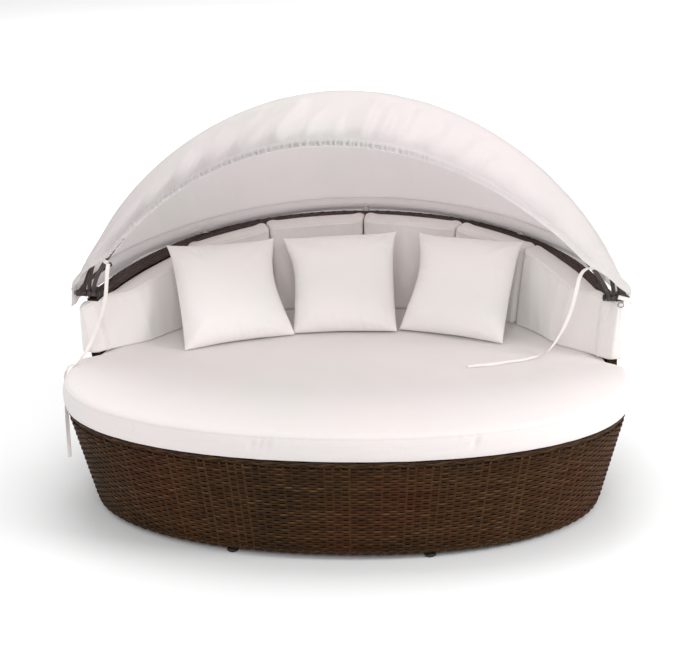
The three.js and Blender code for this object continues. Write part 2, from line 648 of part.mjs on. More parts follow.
// stations: [angle, 0 to 1 for the rounding at an end, wall inset of the back face]; lean is how much the face slopes back, drop how far the top stays below the rim
function wallCushion(name, stations, lean = 14, drop = 19) {
  const sections = stations.map(([th, round, wall]) => {
    const y = planAt(th, 0).y - YC;
    const back = wall + (drop > 10 ? 0 : 5) + round * 6;
    const face = Math.max(back + 34, faceInset(y) - round * 16);
    const top = rimHeight(planAt(th, drop > 10 ? WALL_IN : WALL_OUT).y) - drop - round * (drop > 10 ? 12 : 6);
    const bot = SEAT_CLEAR + round * 6;
    const k = Math.min(1, (face - back) / 90);
    const topFace = face - lean * k;
    return [
      [back, bot + 8], [back + 10 * k, bot], [face - 14 * k, bot], [face, bot + 16], [(face + topFace) / 2 + 4, (bot + top) / 2], [topFace, top - 26], [topFace - 18 * k, top - 4],
      [back + 18 * k, top], [back + 5 * k, top - 6], [back, top - 24],
    ].map(([d, z]) => {
      const p = planAt(th, d);
      return V(p.x, p.y, z);
    });
  });
  add(name, loft(sections), CUSHION);
}
const span = (th0, th1, steps) => {
  const out = [];
  for (let i = 0; i <= steps; i++) {
    const f = i / steps;
    const edge = Math.min(1, Math.sqrt(Math.min(f, 1 - f) * steps * 0.9));
    out.push([th0 + (th1 - th0) * f, 1 - edge, WALL_IN + 2.5]);
  }
  return out;
};
// ends of the six cushions: arm, two backs each side of the middle
const TH_A = angleAtY(YC + 618);
const TH_B = angleAtY(YC + 782);
const GAP = 0.0035;
// the arm cushion laps round the front end of the arm
const armStations = [
  [angleAtY(YC + 152), 1, 8], [angleAtY(YC + 157), 0.35, 6], [angleAtY(YC + 170), 0, 5], [angleAtY(YC + 194), 0, 5],
  [angleAtY(YC + 197), 0, WALL_IN + 4.5], ...span(angleAtY(YC + 222), TH_A - GAP, 8).map(([t, r, w], i) => [t, i === 0 ? 0 : r, w]),
];
const mirrored = (list) => list.map(([t, r, w]) => [Math.PI - t, r, w]).reverse();
wallCushion('arm_cushion_left', armStations);
wallCushion('back_cushion_outer_left', span(TH_A + GAP, TH_B - GAP, 8), 50, 6);
wallCushion('back_cushion_inner_left', span(TH_B + GAP, Math.PI / 2 - GAP, 8), 50, 6);
wallCushion('back_cushion_inner_right', mirrored(span(TH_B + GAP, Math.PI / 2 - GAP, 8)), 50, 6);
wallCushion('back_cushion_outer_right', mirrored(span(TH_A + GAP, TH_B - GAP, 8)), 50, 6);
wallCushion('arm_cushion_right', mirrored(armStations));

// Scatter cushions: square, thin at the seam, full in the middle.
function pillow(name, x, y, yawDeg, leanDeg) {
  const n = 8;
  const h = PILLOW / 2;
  const pts = [];
  const idx = [];
  const half = (side) => {
    const rows = [];
    for (let i = 0; i <= n; i++) {
      const row = [];
      for (let j = 0; j <= n; j++) {
        const a = (i / n) * 2 - 1;
        const b = (j / n) * 2 - 1;
        const edge = Math.max(0, (1 - a * a) * (1 - b * b));
        const waistA = 1 - 0.05 * (1 - b * b);
        const waistB = 1 - 0.05 * (1 - a * a);
        row.push(pts.push(V(a * h * waistA, side * (7 + 55 * edge ** 0.55), b * h * waistB)) - 1);
      }
      rows.push(row);
    }
    return rows;
  };
  const f = half(-1);
  const b = half(1);
  for (let i = 0; i < n; i++) {
    for (let j = 0; j < n; j++) {
      idx.push(f[i][j], f[i + 1][j], f[i + 1][j + 1], f[i][j], f[i + 1][j + 1], f[i][j + 1]);
      idx.push(b[i][j], b[i + 1][j + 1], b[i + 1][j], b[i][j], b[i][j + 1], b[i + 1][j + 1]);
    }
  }
  for (let i = 0; i < n; i++) {
    [[f[i][0], f[i + 1][0], b[i][0], b[i + 1][0]], [f[i][n], f[i + 1][n], b[i][n], b[i + 1][n]], [f[0][i], f[0][i + 1], b[0][i], b[0][i + 1]], [f[n][i], f[n][i + 1], b[n][i], b[n][i + 1]]].forEach(([p, q, r, s]) => {
      idx.push(p, q, s, p, s, r);
    });
  }
  const g = fixWinding(pts, idx);
  g.translate(0, 0, h);
  g.rotateX((-leanDeg * Math.PI) / 180);
  g.rotateZ((yawDeg * Math.PI) / 180);
  g.translate(x, YC + y, SEAT_TOP + CUSHION_CROWN + 3 + 7 * Math.sin((leanDeg * Math.PI) / 180));
  add(name, g, CUSHION);
}
pillow('pillow_right', -396, 262, 25, 38);
pillow('pillow_middle', -38, 372, 4, 38);
pillow('pillow_left', 338, 345, -19, 38);

// ---------------------------------------------------------------- ties
// Soft tape: a flattened eight-sided section swept along its own path, y measured from the widest line.
function tape(name, points, wide, thick, steps) {
  const curve = new THREE.CatmullRomCurve3(points.map(([x, y, z]) => V(x, YC + y, z)));
  const shape = new THREE.Shape();
  for (let i = 0; i < 8; i++) {
    const w = ((i + 0.5) / 8) * Math.PI * 2;
    const x = Math.cos(w) * wide * 0.54;
    const y = Math.sin(w) * thick * 0.54;
    if (i) shape.lineTo(x, y);
    else shape.moveTo(x, y);
  }
  shape.closePath();
  const g = new THREE.ExtrudeGeometry(shape, { steps, extrudePath: curve, bevelEnabled: false });
  add(name, fromSolid(toSolid(g)), TAPE);
}
// the tie on the -X side falls past the arm, over the edge of the seat cushion and down beside the drum
tape('tie_right', [
  [-789.2, 95.7, 777.7], [-794, 92.5, 755], [-799, 93.5, 720], [-805, 97.5, 680], [-814, 103.5, 640], [-828, 109.5, 600], [-845, 112.5, 560],
  [-861, 108.5, 520], [-877, 93.5, 485], [-893, 73.5, 459], [-912, 47.5, 440], [-932, 29.5, 435.5], [-943.5, 16.5, 416], [-945, 9.5, 385],
  [-945, 3.5, 350], [-945.5, -1.5, 310], [-946, -5.5, 260], [-946, -7.5, 210], [-946.5, -8.5, 160], [-946.5, -9.5, 118],
], 12, 3.4, 26);
// the tie on the +X side curves down from the bow and lies on the seat
tape('tie_left', [
  [796.5, 111, 769.4], [783, 112.5, 760], [771, 113.5, 738], [764, 119.5, 705], [757, 131.5, 665], [748, 149.5, 620], [735, 164.5, 575],
  [716, 173.5, 527], [692, 179.5, 484], [668, 173.5, 456], [640, 161.5, 444.5], [608, 141.5, 442.5], [565, 116.5, 442.5], [523, 98.5, 442.5],
  [465, 76.5, 442.5], [409, 56.5, 442.5],
], 12, 3.4, 24);
// cloth loops that hold the ties on the front bow
[['tie_loop_left', 0.93], ['tie_loop_right', -0.92]].forEach(([name, u]) => {
  const at = (v) => onAngle(X_FRONT * v, bowReach(v, FRONT_ROUND), ANG_FRONT);
  const c = at(u);
  const t = at(u + 0.002).sub(at(u - 0.002)).normalize();
  const ring = (r, k) => {
    const a = V(0, 0, 1).addScaledVector(t, -t.z).normalize();
    const b = t.clone().cross(a);
    const out = [];
    for (let i = 0; i < 16; i++) {
      const w = (i / 16) * Math.PI * 2;
      out.push(c.clone().addScaledVector(t, k).addScaledVector(a, Math.cos(w) * r).addScaledVector(b, Math.sin(w) * r));
    }
    return out;
  };
  add(name, loft([ring(9.6, -9), ring(9.6, 9), ring(7.8, 9), ring(7.8, -9)], { loop: true }), TAPE);
});
// corner strap with its ring at the +X pivot
tape('strap_left', [[898, 153.5, 657], [925, 153, 649.5], [955, 151, 638.5], [981, 148, 626]], 3, 15, 6);
{
  const g = new THREE.TorusGeometry(10, 1.5, 6, 16);
  g.rotateX(Math.PI / 2 + 0.35);
  g.translate(907, YC + 146, 632);
  add('strap_ring_left', g, STEEL);
}

export default group;
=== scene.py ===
import math

import bpy
import numpy as np
from mathutils import Matrix, Vector
from mathutils.bvhtree import BVHTree
from mathutils.kdtree import KDTree


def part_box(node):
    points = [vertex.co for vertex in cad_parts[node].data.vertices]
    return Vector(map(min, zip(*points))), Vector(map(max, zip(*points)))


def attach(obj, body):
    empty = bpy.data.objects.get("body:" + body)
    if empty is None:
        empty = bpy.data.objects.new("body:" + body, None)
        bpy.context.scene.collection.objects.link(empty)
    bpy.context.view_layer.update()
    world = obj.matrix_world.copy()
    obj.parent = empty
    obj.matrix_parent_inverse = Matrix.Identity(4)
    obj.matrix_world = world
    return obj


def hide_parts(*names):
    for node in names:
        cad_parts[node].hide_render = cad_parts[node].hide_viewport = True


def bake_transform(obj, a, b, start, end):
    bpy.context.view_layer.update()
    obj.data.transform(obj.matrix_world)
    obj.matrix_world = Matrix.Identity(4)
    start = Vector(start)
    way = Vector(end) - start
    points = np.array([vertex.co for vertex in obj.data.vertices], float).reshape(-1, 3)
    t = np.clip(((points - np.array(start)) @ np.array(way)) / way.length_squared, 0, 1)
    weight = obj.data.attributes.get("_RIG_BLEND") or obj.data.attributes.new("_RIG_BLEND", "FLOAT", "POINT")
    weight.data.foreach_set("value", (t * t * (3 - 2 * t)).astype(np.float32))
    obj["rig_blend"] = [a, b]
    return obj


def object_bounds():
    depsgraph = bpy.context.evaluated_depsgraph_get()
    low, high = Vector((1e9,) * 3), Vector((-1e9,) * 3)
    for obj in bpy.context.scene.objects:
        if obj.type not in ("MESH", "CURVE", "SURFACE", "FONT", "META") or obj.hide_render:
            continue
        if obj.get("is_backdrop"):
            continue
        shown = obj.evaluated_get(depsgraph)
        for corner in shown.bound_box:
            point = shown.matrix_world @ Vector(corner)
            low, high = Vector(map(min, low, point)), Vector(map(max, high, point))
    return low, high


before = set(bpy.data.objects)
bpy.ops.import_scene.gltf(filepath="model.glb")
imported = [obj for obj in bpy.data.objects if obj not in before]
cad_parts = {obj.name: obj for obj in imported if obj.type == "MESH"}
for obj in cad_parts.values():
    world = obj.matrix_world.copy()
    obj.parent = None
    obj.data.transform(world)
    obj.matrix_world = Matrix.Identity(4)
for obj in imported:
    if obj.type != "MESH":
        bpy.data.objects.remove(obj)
CAD_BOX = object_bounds()

# ------------------------------------------------------------------ dimensions, as in the part
HALF_W, DEPTH_FRONT, DEPTH_BACK, YC, OVAL_N = 0.930, 0.520, 0.845, -0.1632, 2.1
FOOT_W, FOOT_FRONT, FOOT_BACK = 0.845, 0.500, 0.765
BASE_TOP, BASE_BOTTOM = 0.340, 0.020
ARM_END, RIM_LOW, RIM_HIGH, RIM_POWER = 0.212, 0.600, 0.760, 1.3
WALL_OUT, WALL_IN = 0.008, 0.040
CUSHION_BOTTOM, CUSHION_SIDE, CUSHION_CROWN = 0.341, 0.088, 0.010
SEAT_TOP = CUSHION_BOTTOM + CUSHION_SIDE
SEAT_CLEAR = SEAT_TOP + CUSHION_CROWN + 0.002
PIVOT_Y, PIVOT_Z, BRACKET_X = YC + 0.172, 0.648, 0.894
BOW_R, BOW_ROUND, FRONT_ROUND, TUBE_R, EYE_R, EYE_W, BORE_R = 0.672, 0.67, 0.33, 0.007, 0.011, 0.0156, 0.0045
ANG_FRONT, ANG_MID_FRONT, ANG_MID_REAR, ANG_REAR = 116.7, 84.0, 48.0, 12.0
X_FRONT, X_MID_FRONT, X_MID_REAR, X_REAR = 0.8676, 0.8837, 0.9043, 0.9204
PILLOW = 0.380

# ------------------------------------------------------------------ camera
AZ, EL, ROLL = math.radians(6.8763), math.radians(19.5786), math.radians(-1.6435)
DIST, TARGET = 5.767, Vector((0.0270, YC, 0.5778))
back = Vector((math.sin(AZ) * math.cos(EL), -math.cos(AZ) * math.cos(EL), math.sin(EL)))
right = Vector((math.cos(AZ), math.sin(AZ), 0.0))
up = back.cross(right)
cam_right = right * math.cos(ROLL) + up * math.sin(ROLL)
cam_up = up * math.cos(ROLL) - right * math.sin(ROLL)
cam_data = bpy.data.cameras.new("camera")
cam = bpy.data.objects.new("camera", cam_data)
bpy.context.scene.collection.objects.link(cam)
place = Matrix((cam_right, cam_up, back)).transposed().to_4x4()
place.translation = TARGET + back * DIST
cam.matrix_world = place
cam_data.lens = 36.0 * 1763.3 / 700.0
cam_data.sensor_width = 36.0
cam_data.clip_end = 60.0
bpy.context.scene.camera = cam


# ------------------------------------------------------------------ small tools
def rng(seed):
    return np.random.default_rng(seed)


def smooth(x, a, b):
    t = np.clip((np.asarray(x, float) - a) / (b - a), 0, 1)
    return t * t * (3 - 2 * t)


def wavy(x, seed, terms=6, lo=0.5, hi=3.0):
    """Sum of sines, about -1 to 1, smooth in x, with periods of 1/hi to 1/lo."""
    r = rng(seed)
    f = r.uniform(lo, hi, terms)
    p = r.uniform(0, 2 * np.pi, terms)
    a = r.uniform(0.5, 1, terms)
    return sum(a[i] * np.sin(2 * np.pi * f[i] * x + p[i]) for i in range(terms)) / a.sum() * 1.6


def wavy2(x, y, seed, terms=10, lo=1.0, hi=5.0):
    r = rng(seed)
    out = 0
    total = 0
    for _ in range(terms):
        k, w, p, a = r.uniform(lo, hi), r.uniform(0, 2 * np.pi), r.uniform(0, 2 * np.pi), r.uniform(0.5, 1)
        out = out + a * np.sin(2 * np.pi * k * (x * math.cos(w) + y * math.sin(w)) + p)
        total += a
    return out / total * 1.8


def quads(rows, cols, wrap_r=False, wrap_c=False, base=0):
    r = np.arange(rows if wrap_r else rows - 1)
    c = np.arange(cols if wrap_c else cols - 1)
    r, c = np.meshgrid(r, c, indexing="ij")
    r2, c2 = (r + 1) % rows, (c + 1) % cols
    return (np.stack([r * cols + c, r2 * cols + c, r2 * cols + c2, r * cols + c2], -1).reshape(-1, 4) + base)


def mesh_obj(name, verts, faces4=None, faces3=None, mats=(), smooth_shade=True, attrs=None, index=None):
    me = bpy.data.meshes.new(name)
    verts = np.asarray(verts, np.float64).reshape(-1, 3)
    f4 = np.zeros((0, 4), int) if faces4 is None else np.asarray(faces4, int).reshape(-1, 4)
    f3 = np.zeros((0, 3), int) if faces3 is None else np.asarray(faces3, int).reshape(-1, 3)
    me.vertices.add(len(verts))
    me.vertices.foreach_set("co", verts.ravel())
    me.loops.add(f4.size + f3.size)
    me.loops.foreach_set("vertex_index", np.concatenate([f4.ravel(), f3.ravel()]).astype(np.int32))
    me.polygons.add(len(f4) + len(f3))
    starts = np.concatenate([np.arange(len(f4)) * 4, len(f4) * 4 + np.arange(len(f3)) * 3])
    me.polygons.foreach_set("loop_start", starts.astype(np.int32))
    me.update(calc_edges=True)
    me.validate()
    if smooth_shade:
        me.polygons.foreach_set("use_smooth", np.ones(len(me.polygons), bool))
    for key, value in (attrs or {}).items():
        a = me.attributes.new(key, "FLOAT", "POINT")
        a.data.foreach_set("value", np.asarray(value, np.float32).ravel())
    for m in mats if isinstance(mats, (list, tuple)) else [mats]:
        me.materials.append(m)
    if index is not None:
        me.polygons.foreach_set("material_index", np.asarray(index, np.int32))
    o = bpy.data.objects.new(name, me)
    bpy.context.scene.collection.objects.link(o)
    return o


def put(o, body="root", replaces=()):
    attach(o, body)
    if replaces:
        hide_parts(*replaces)
    return o


def frames_along(path, up_hint):
    """Tangent, side and normal at each point of a path; the normal stays near up_hint."""
    t = np.gradient(path, axis=0)
    t /= np.linalg.norm(t, axis=1)[:, None]
    n = up_hint - (t * up_hint).sum(1)[:, None] * t
    n /= np.linalg.norm(n, axis=1)[:, None]
    return t, np.cross(t, n), n


def tube(path, radius, sides=20, closed=False, hint=None):
    """Vertices (rows, sides) of a round tube."""
    path = np.asarray(path, float)
    if closed:
        ext = np.vstack([path[-2:], path, path[:2]])
        t = np.gradient(ext, axis=0)[2:-2]
    else:
        t = np.gradient(path, axis=0)
    t /= np.linalg.norm(t, axis=1)[:, None]
    h = np.array([0, 0, 1.0]) if hint is None else hint
    side = np.cross(t, h)
    bad = np.linalg.norm(side, axis=1) < 1e-3
    side[bad] = np.cross(t[bad], np.array([0, 1.0, 0]))
    side /= np.linalg.norm(side, axis=1)[:, None]
    nor = np.cross(side, t)
    w = np.arange(sides) / sides * 2 * np.pi
    r = np.broadcast_to(np.asarray(radius, float), (len(path),))
    ring = path[:, None] + r[:, None, None] * (np.cos(w)[None, :, None] * side[:, None] + np.sin(w)[None, :, None] * nor[:, None])
    return ring


def resample(path, count):
    path = np.asarray(path, float)
    d = np.concatenate([[0], np.cumsum(np.linalg.norm(np.diff(path, axis=0), axis=1))])
    s = np.linspace(0, d[-1], count)
    return np.stack([np.interp(s, d, path[:, k]) for k in range(path.shape[1])], 1)


def catmull(points, count):
    """Centripetal curve through the points."""
    p = np.asarray(points, float)
    p = np.vstack([2 * p[0] - p[1], p, 2 * p[-1] - p[-2]])
    out = []
    for i in range(1, len(p) - 2):
        p0, p1, p2, p3 = p[i - 1], p[i], p[i + 1], p[i + 2]
        t0 = 0.0
        t1 = t0 + max(1e-6, np.linalg.norm(p1 - p0)) ** 0.5
        t2 = t1 + max(1e-6, np.linalg.norm(p2 - p1)) ** 0.5
        t3 = t2 + max(1e-6, np.linalg.norm(p3 - p2)) ** 0.5
        for t in np.linspace(t1, t2, 24, endpoint=False):
            a1 = (t1 - t) / (t1 - t0) * p0 + (t - t0) / (t1 - t0) * p1
            a2 = (t2 - t) / (t2 - t1) * p1 + (t - t1) / (t2 - t1) * p2
            a3 = (t3 - t) / (t3 - t2) * p2 + (t - t2) / (t3 - t2) * p3
            b1 = (t2 - t) / (t2 - t0) * a1 + (t - t0) / (t2 - t0) * a2
            b2 = (t3 - t) / (t3 - t1) * a2 + (t - t1) / (t3 - t1) * a3
            out.append((t2 - t) / (t2 - t1) * b1 + (t - t1) / (t2 - t1) * b2)
    out.append(p[-2])
    return resample(out, count)


# ------------------------------------------------------------------ the oval plan
def oval(th, a, bf, bb):
    c, s = np.cos(th), np.sin(th)
    x = a * np.sign(c) * np.abs(c) ** (2 / OVAL_N)
    y = YC + np.where(s < 0, bf, bb) * np.sign(s) * np.abs(s) ** (2 / OVAL_N)
    return x, y


def plan(th, d=0.0, z=BASE_TOP):
    """Point of the plan at height z, set in by d. Arrays broadcast."""
    th, d, z = np.broadcast_arrays(np.asarray(th, float), np.asarray(d, float), np.asarray(z, float))
    t = np.clip((z - BASE_BOTTOM) / (BASE_TOP - BASE_BOTTOM), 0, 1)
    a = FOOT_W + (HALF_W - FOOT_W) * t
    bf = FOOT_FRONT + (DEPTH_FRONT - FOOT_FRONT) * t
    bb = FOOT_BACK + (DEPTH_BACK - FOOT_BACK) * t
    x, y = oval(th, a, bf, bb)
    x1, y1 = oval(th - 0.004, a, bf, bb)
    x2, y2 = oval(th + 0.004, a, bf, bb)
    qx, qy = x2 - x1, y2 - y1
    l = np.hypot(qx, qy)
    qx, qy = qx / l, qy / l
    return np.stack([x - qy * d, y + qx * d, z], -1)


def rim_height(y):
    return RIM_LOW + (RIM_HIGH - RIM_LOW) * (np.maximum(0, np.asarray(y) - YC) / DEPTH_BACK) ** RIM_POWER


def angle_at(y):
    lo, hi = 0.0, math.pi / 2
    for _ in range(60):
        mid = (lo + hi) / 2
        if oval(np.array(mid), HALF_W, DEPTH_FRONT, DEPTH_BACK)[1] < y:
            lo = mid
        else:
            hi = mid
    return (lo + hi) / 2


def even_angles(th0, th1, count, closed=False):
    """Angles at even spacing along the top outline, and its length."""
    th = np.linspace(th0, th1, 20001)
    x, y = oval(th, HALF_W, DEPTH_FRONT, DEPTH_BACK)
    d = np.concatenate([[0], np.cumsum(np.hypot(np.diff(x), np.diff(y)))])
    s = np.linspace(0, d[-1], count + 1)[:-1] if closed else np.linspace(0, d[-1], count)
    return np.interp(s, d, th), d[-1]


TH_ARM = angle_at(YC + ARM_END)


# ------------------------------------------------------------------ materials
def new_mat(name):
    m = bpy.data.materials.new(name)
    m.use_nodes = True
    nt = m.node_tree
    for n in list(nt.nodes):
        if n.type not in ("BSDF_PRINCIPLED", "OUTPUT_MATERIAL"):
            nt.nodes.remove(n)
    return m, nt, nt.nodes["Principled BSDF"]


def node(nt, kind, **values):
    n = nt.nodes.new(kind)
    for k, v in values.items():
        if k in n.inputs.keys():
            n.inputs[k].default_value = v
        else:
            setattr(n, k, v)
    return n


def srgb(r, g, b):
    out = []
    for c in (r, g, b):
        c = c / 255.0
        out.append(c / 12.92 if c <= 0.04045 else ((c + 0.055) / 1.055) ** 2.4)
    return (*out, 1.0)


def ramp(nt, source, stops):
    r = nt.nodes.new("ShaderNodeValToRGB")
    el = r.color_ramp.elements
    while len(el) < len(stops):
        el.new(0.5)
    for e, (pos, col) in zip(el, stops):
        e.position = pos
        e.color = col
    nt.links.new(source, r.inputs["Fac"])
    return r.outputs["Color"]


def noise(nt, coord, scale, detail=2.0, rough=0.5, distort=0.0):
    n = node(nt, "ShaderNodeTexNoise", Scale=scale, Detail=detail, Roughness=rough, Distortion=distort)
    nt.links.new(coord, n.inputs["Vector"])
    return n.outputs["Fac"]


def math_node(nt, op, a, b=None, c=None):
    n = nt.nodes.new("ShaderNodeMath")
    n.operation = op
    for i, v in enumerate((a, b, c)):
        if v is None:
            continue
        if isinstance(v, (int, float)):
            n.inputs[i].default_value = v
        else:
            nt.links.new(v, n.inputs[i])
    return n.outputs[0]


def mix_rgb(nt, fac, a, b, mode="MIX"):
    n = nt.nodes.new("ShaderNodeMix")
    n.data_type = "RGBA"
    n.blend_type = mode
    for i, v in ((0, fac), (6, a), (7, b)):
        if isinstance(v, (int, float, tuple)):
            n.inputs[i].default_value = v
        else:
            nt.links.new(v, n.inputs[i])
    return n.outputs[2]


def map_range(nt, v, a, b, c, d):
    n = nt.nodes.new("ShaderNodeMapRange")
    nt.links.new(v, n.inputs[0])
    for i, x in enumerate((a, b, c, d)):
        n.inputs[i + 1].default_value = x
    return n.outputs[0]


def coords(nt):
    return nt.nodes.new("ShaderNodeTexCoord").outputs["Object"]


def bump(nt, height, strength, distance, bsdf, chain=None):
    b = node(nt, "ShaderNodeBump", Strength=strength, Distance=distance)
    nt.links.new(height, b.inputs["Height"])
    if chain is not None:
        nt.links.new(chain, b.inputs["Normal"])
    if bsdf is not None:
        nt.links.new(b.outputs["Normal"], bsdf.inputs["Normal"])
    return b.outputs["Normal"]


def strand_material(name, dark, mid, red, light, rough=(0.34, 0.56)):
    """Moulded strand: tone from strand to strand, broad patches, painted highlights on the tops of the arches and
    painted shade along each strand's flanks and underside.
    """
    m, nt, b = new_mat(name)
    co = coords(nt)
    tone = node(nt, "ShaderNodeAttribute", attribute_name="tone").outputs["Fac"]
    patch = noise(nt, co, 3.1, 2.0, 0.55, 0.4)
    fine = noise(nt, co, 70.0, 3.0, 0.6)
    col = ramp(nt, patch, [(0.36, dark), (0.50, mid), (0.64, red)])
    t = math_node(nt, "ADD", math_node(nt, "MULTIPLY", tone, 0.75), math_node(nt, "MULTIPLY", fine, 0.35))
    # painted highlight: the glint attribute mixes the pale colour onto the upper face of each arch
    glint = node(nt, "ShaderNodeAttribute", attribute_name="glint").outputs["Fac"]
    fac = math_node(nt, "ADD", map_range(nt, t, 0.30, 1.05, 0.0, 0.22), math_node(nt, "MULTIPLY", glint, map_range(nt, t, 0.15, 0.85, 0.25, 1.0)))
    fac = math_node(nt, "MINIMUM", fac, 1.0)
    col = mix_rgb(nt, fac, col, light)
    # painted shade: this attribute scales the colour down to 0.45 of itself, on each strand's lower edge and back and
    # on the liners and cores behind the weave
    painted_shading = node(nt, "ShaderNodeAttribute", attribute_name="painted_shading").outputs["Fac"]
    dark_f = map_range(nt, painted_shading, 0.0, 1.0, 0.45, 1.0)
    n = nt.nodes.new("ShaderNodeCombineColor")
    for i in range(3):
        nt.links.new(dark_f, n.inputs[i])
    col = mix_rgb(nt, 1.0, col, n.outputs[0], "MULTIPLY")
    nt.links.new(col, b.inputs["Base Color"])
    nt.links.new(map_range(nt, fine, 0.3, 0.7, rough[0], rough[1]), b.inputs["Roughness"])
    b.inputs["Specular IOR Level"].default_value = 0.10
    bump(nt, noise(nt, co, 420.0, 3.0, 0.7), 0.25, 0.0004, b)
    return m


def fabric_material(name, base, warm, cool, rough=0.9, weave=900.0, translucent=0.0, patch_scale=2.2, sheen=0.25, wrinkle=0.0):
    """Woven cloth: fine crossing threads in the bump, soft patches of warm and cool in the colour."""
    m, nt, b = new_mat(name)
    co = coords(nt)
    patch = noise(nt, co, patch_scale, 3.0, 0.5, 0.2)
    col = ramp(nt, patch, [(0.36, cool), (0.5, base), (0.64, warm)])
    threads = []
    for way in ("X", "Y", "Z"):
        w = node(nt, "ShaderNodeTexWave", Scale=weave / 6.2832, Distortion=0.6, Detail=1.0)
        w.inputs["Detail Scale"].default_value = 2.0
        w.bands_direction = way
        nt.links.new(co, w.inputs["Vector"])
        threads.append(w.outputs["Fac"])
    grid = math_node(nt, "ADD", math_node(nt, "MULTIPLY", threads[0], threads[1]), math_node(nt, "MULTIPLY", threads[2], threads[0]))
    slub = noise(nt, co, 240.0, 3.0, 0.7)
    tint = map_range(nt, math_node(nt, "ADD", math_node(nt, "MULTIPLY", grid, 0.3), slub), 0.3, 1.1, 0.955, 1.0)
    n = nt.nodes.new("ShaderNodeCombineColor")
    for i in range(3):
        nt.links.new(tint, n.inputs[i])
    col = mix_rgb(nt, 1.0, col, n.outputs[0], "MULTIPLY")
    nt.links.new(col, b.inputs["Base Color"])
    nt.links.new(map_range(nt, slub, 0.3, 0.7, rough - 0.06, rough + 0.05), b.inputs["Roughness"])
    b.inputs["Sheen Weight"].default_value = sheen
    b.inputs["Sheen Roughness"].default_value = 0.6
    b.inputs["Specular IOR Level"].default_value = 0.25
    chain = None
    if wrinkle:
        soft = noise(nt, co, 14.0, 2.0, 0.5, 0.8)
        chain = bump(nt, soft, wrinkle, 0.006, None)
    h = math_node(nt, "ADD", math_node(nt, "MULTIPLY", grid, 0.6), math_node(nt, "MULTIPLY", slub, 0.8))
    bump(nt, h, 0.35, 0.0005, b, chain)
    if translucent:
        out = nt.nodes["Material Output"]
        tr = nt.nodes.new("ShaderNodeBsdfTranslucent")
        nt.links.new(col, tr.inputs["Color"])
        mx = nt.nodes.new("ShaderNodeMixShader")
        mx.inputs[0].default_value = translucent
        nt.links.new(b.outputs[0], mx.inputs[1])
        nt.links.new(tr.outputs[0], mx.inputs[2])
        nt.links.new(mx.outputs[0], out.inputs["Surface"])
    return m


def coat_material(name, dark, light, rough=(0.35, 0.5), metallic=0.0, scale=260.0, wear=None, strength=0.15):
    """Powder coat, moulded plastic or steel: orange-peel bump and slight mottling."""
    m, nt, b = new_mat(name)
    co = coords(nt)
    cloud = noise(nt, co, 18.0, 4.0, 0.6)
    grain = noise(nt, co, scale, 3.0, 0.6)
    col = ramp(nt, cloud, [(0.35, dark), (0.65, light)])
    if wear is not None:
        spots = ramp(nt, noise(nt, co, 55.0, 5.0, 0.7), [(0.66, (0, 0, 0, 1)), (0.74, (1, 1, 1, 1))])
        col = mix_rgb(nt, spots, col, wear)
    nt.links.new(col, b.inputs["Base Color"])
    nt.links.new(map_range(nt, grain, 0.3, 0.7, rough[0], rough[1]), b.inputs["Roughness"])
    b.inputs["Metallic"].default_value = metallic
    bump(nt, grain, strength, 0.0004, b)
    return m


M_STRAND = strand_material("strand", srgb(38, 22, 6), srgb(51, 29, 9), srgb(56, 25, 8), srgb(116, 86, 57), (0.46, 0.66))
M_BORDER = strand_material("strand_border", srgb(38, 23, 8), srgb(48, 30, 12), srgb(50, 27, 12), srgb(114, 88, 60), (0.46, 0.66))
M_RIM = strand_material("strand_rim", srgb(82, 71, 68), srgb(92, 79, 76), srgb(90, 73, 69), srgb(124, 112, 108), (0.45, 0.65))
# painted light: the casing cloth is paler and less translucent than the canopy cloth, to lighten the shade on the
# casings
M_POCKET_LIGHTENED = fabric_material("canopy_pocket_cloth_lightened", srgb(248, 245, 245), srgb(250, 246, 246), srgb(246, 244, 243), translucent=0.25)
M_CUSHION = fabric_material("cushion_fabric", srgb(236, 230, 228), srgb(238, 231, 229), srgb(233, 230, 227), wrinkle=0.12)
M_SEAT = fabric_material("seat_fabric", srgb(227, 220, 218), srgb(229, 221, 219), srgb(224, 220, 217), wrinkle=0.12)
M_PILLOW = fabric_material("pillow_fabric", srgb(245, 240, 238), srgb(247, 241, 239), srgb(242, 239, 236), wrinkle=0.10)
M_CANOPY = fabric_material("canopy_cloth", srgb(242, 238, 238), srgb(244, 239, 239), srgb(240, 238, 236), weave=1100.0, translucent=0.62, sheen=0.15)
M_TAPE = fabric_material("tape_cloth", srgb(243, 237, 234), srgb(244, 237, 234), srgb(238, 235, 232), weave=1800.0, sheen=0.1)
M_FRAME = coat_material("frame_coat", srgb(48, 40, 36), srgb(60, 50, 46), (0.38, 0.52), 0.0, 300.0, srgb(92, 82, 76))
M_BOW = coat_material("bow_coat", srgb(54, 45, 43), srgb(66, 56, 53), (0.32, 0.46), 0.0, 320.0, srgb(96, 86, 82))
M_BRACKET = coat_material("bracket_coat", srgb(44, 37, 35), srgb(58, 49, 46), (0.3, 0.45), 0.0, 300.0, srgb(110, 104, 100))
M_STEEL = coat_material("bolt_steel", srgb(120, 118, 116), srgb(150, 148, 146), (0.22, 0.38), 1.0, 500.0, strength=0.08)
M_KNOB = coat_material("knob_plastic", srgb(22, 20, 20), srgb(32, 30, 29), (0.42, 0.58), 0.0, 420.0, strength=0.2)
M_FOOT = coat_material("foot_plastic", srgb(24, 22, 21), srgb(36, 33, 31), (0.5, 0.68), 0.0, 350.0, strength=0.2)
M_CLIP = coat_material("clip_plastic", srgb(176, 172, 168), srgb(196, 192, 188), (0.35, 0.5), 0.0, 300.0, strength=0.1)
M_SKIN = strand_material("strand_liner", srgb(30, 19, 13), srgb(36, 23, 16), srgb(40, 23, 17), srgb(50, 36, 28))


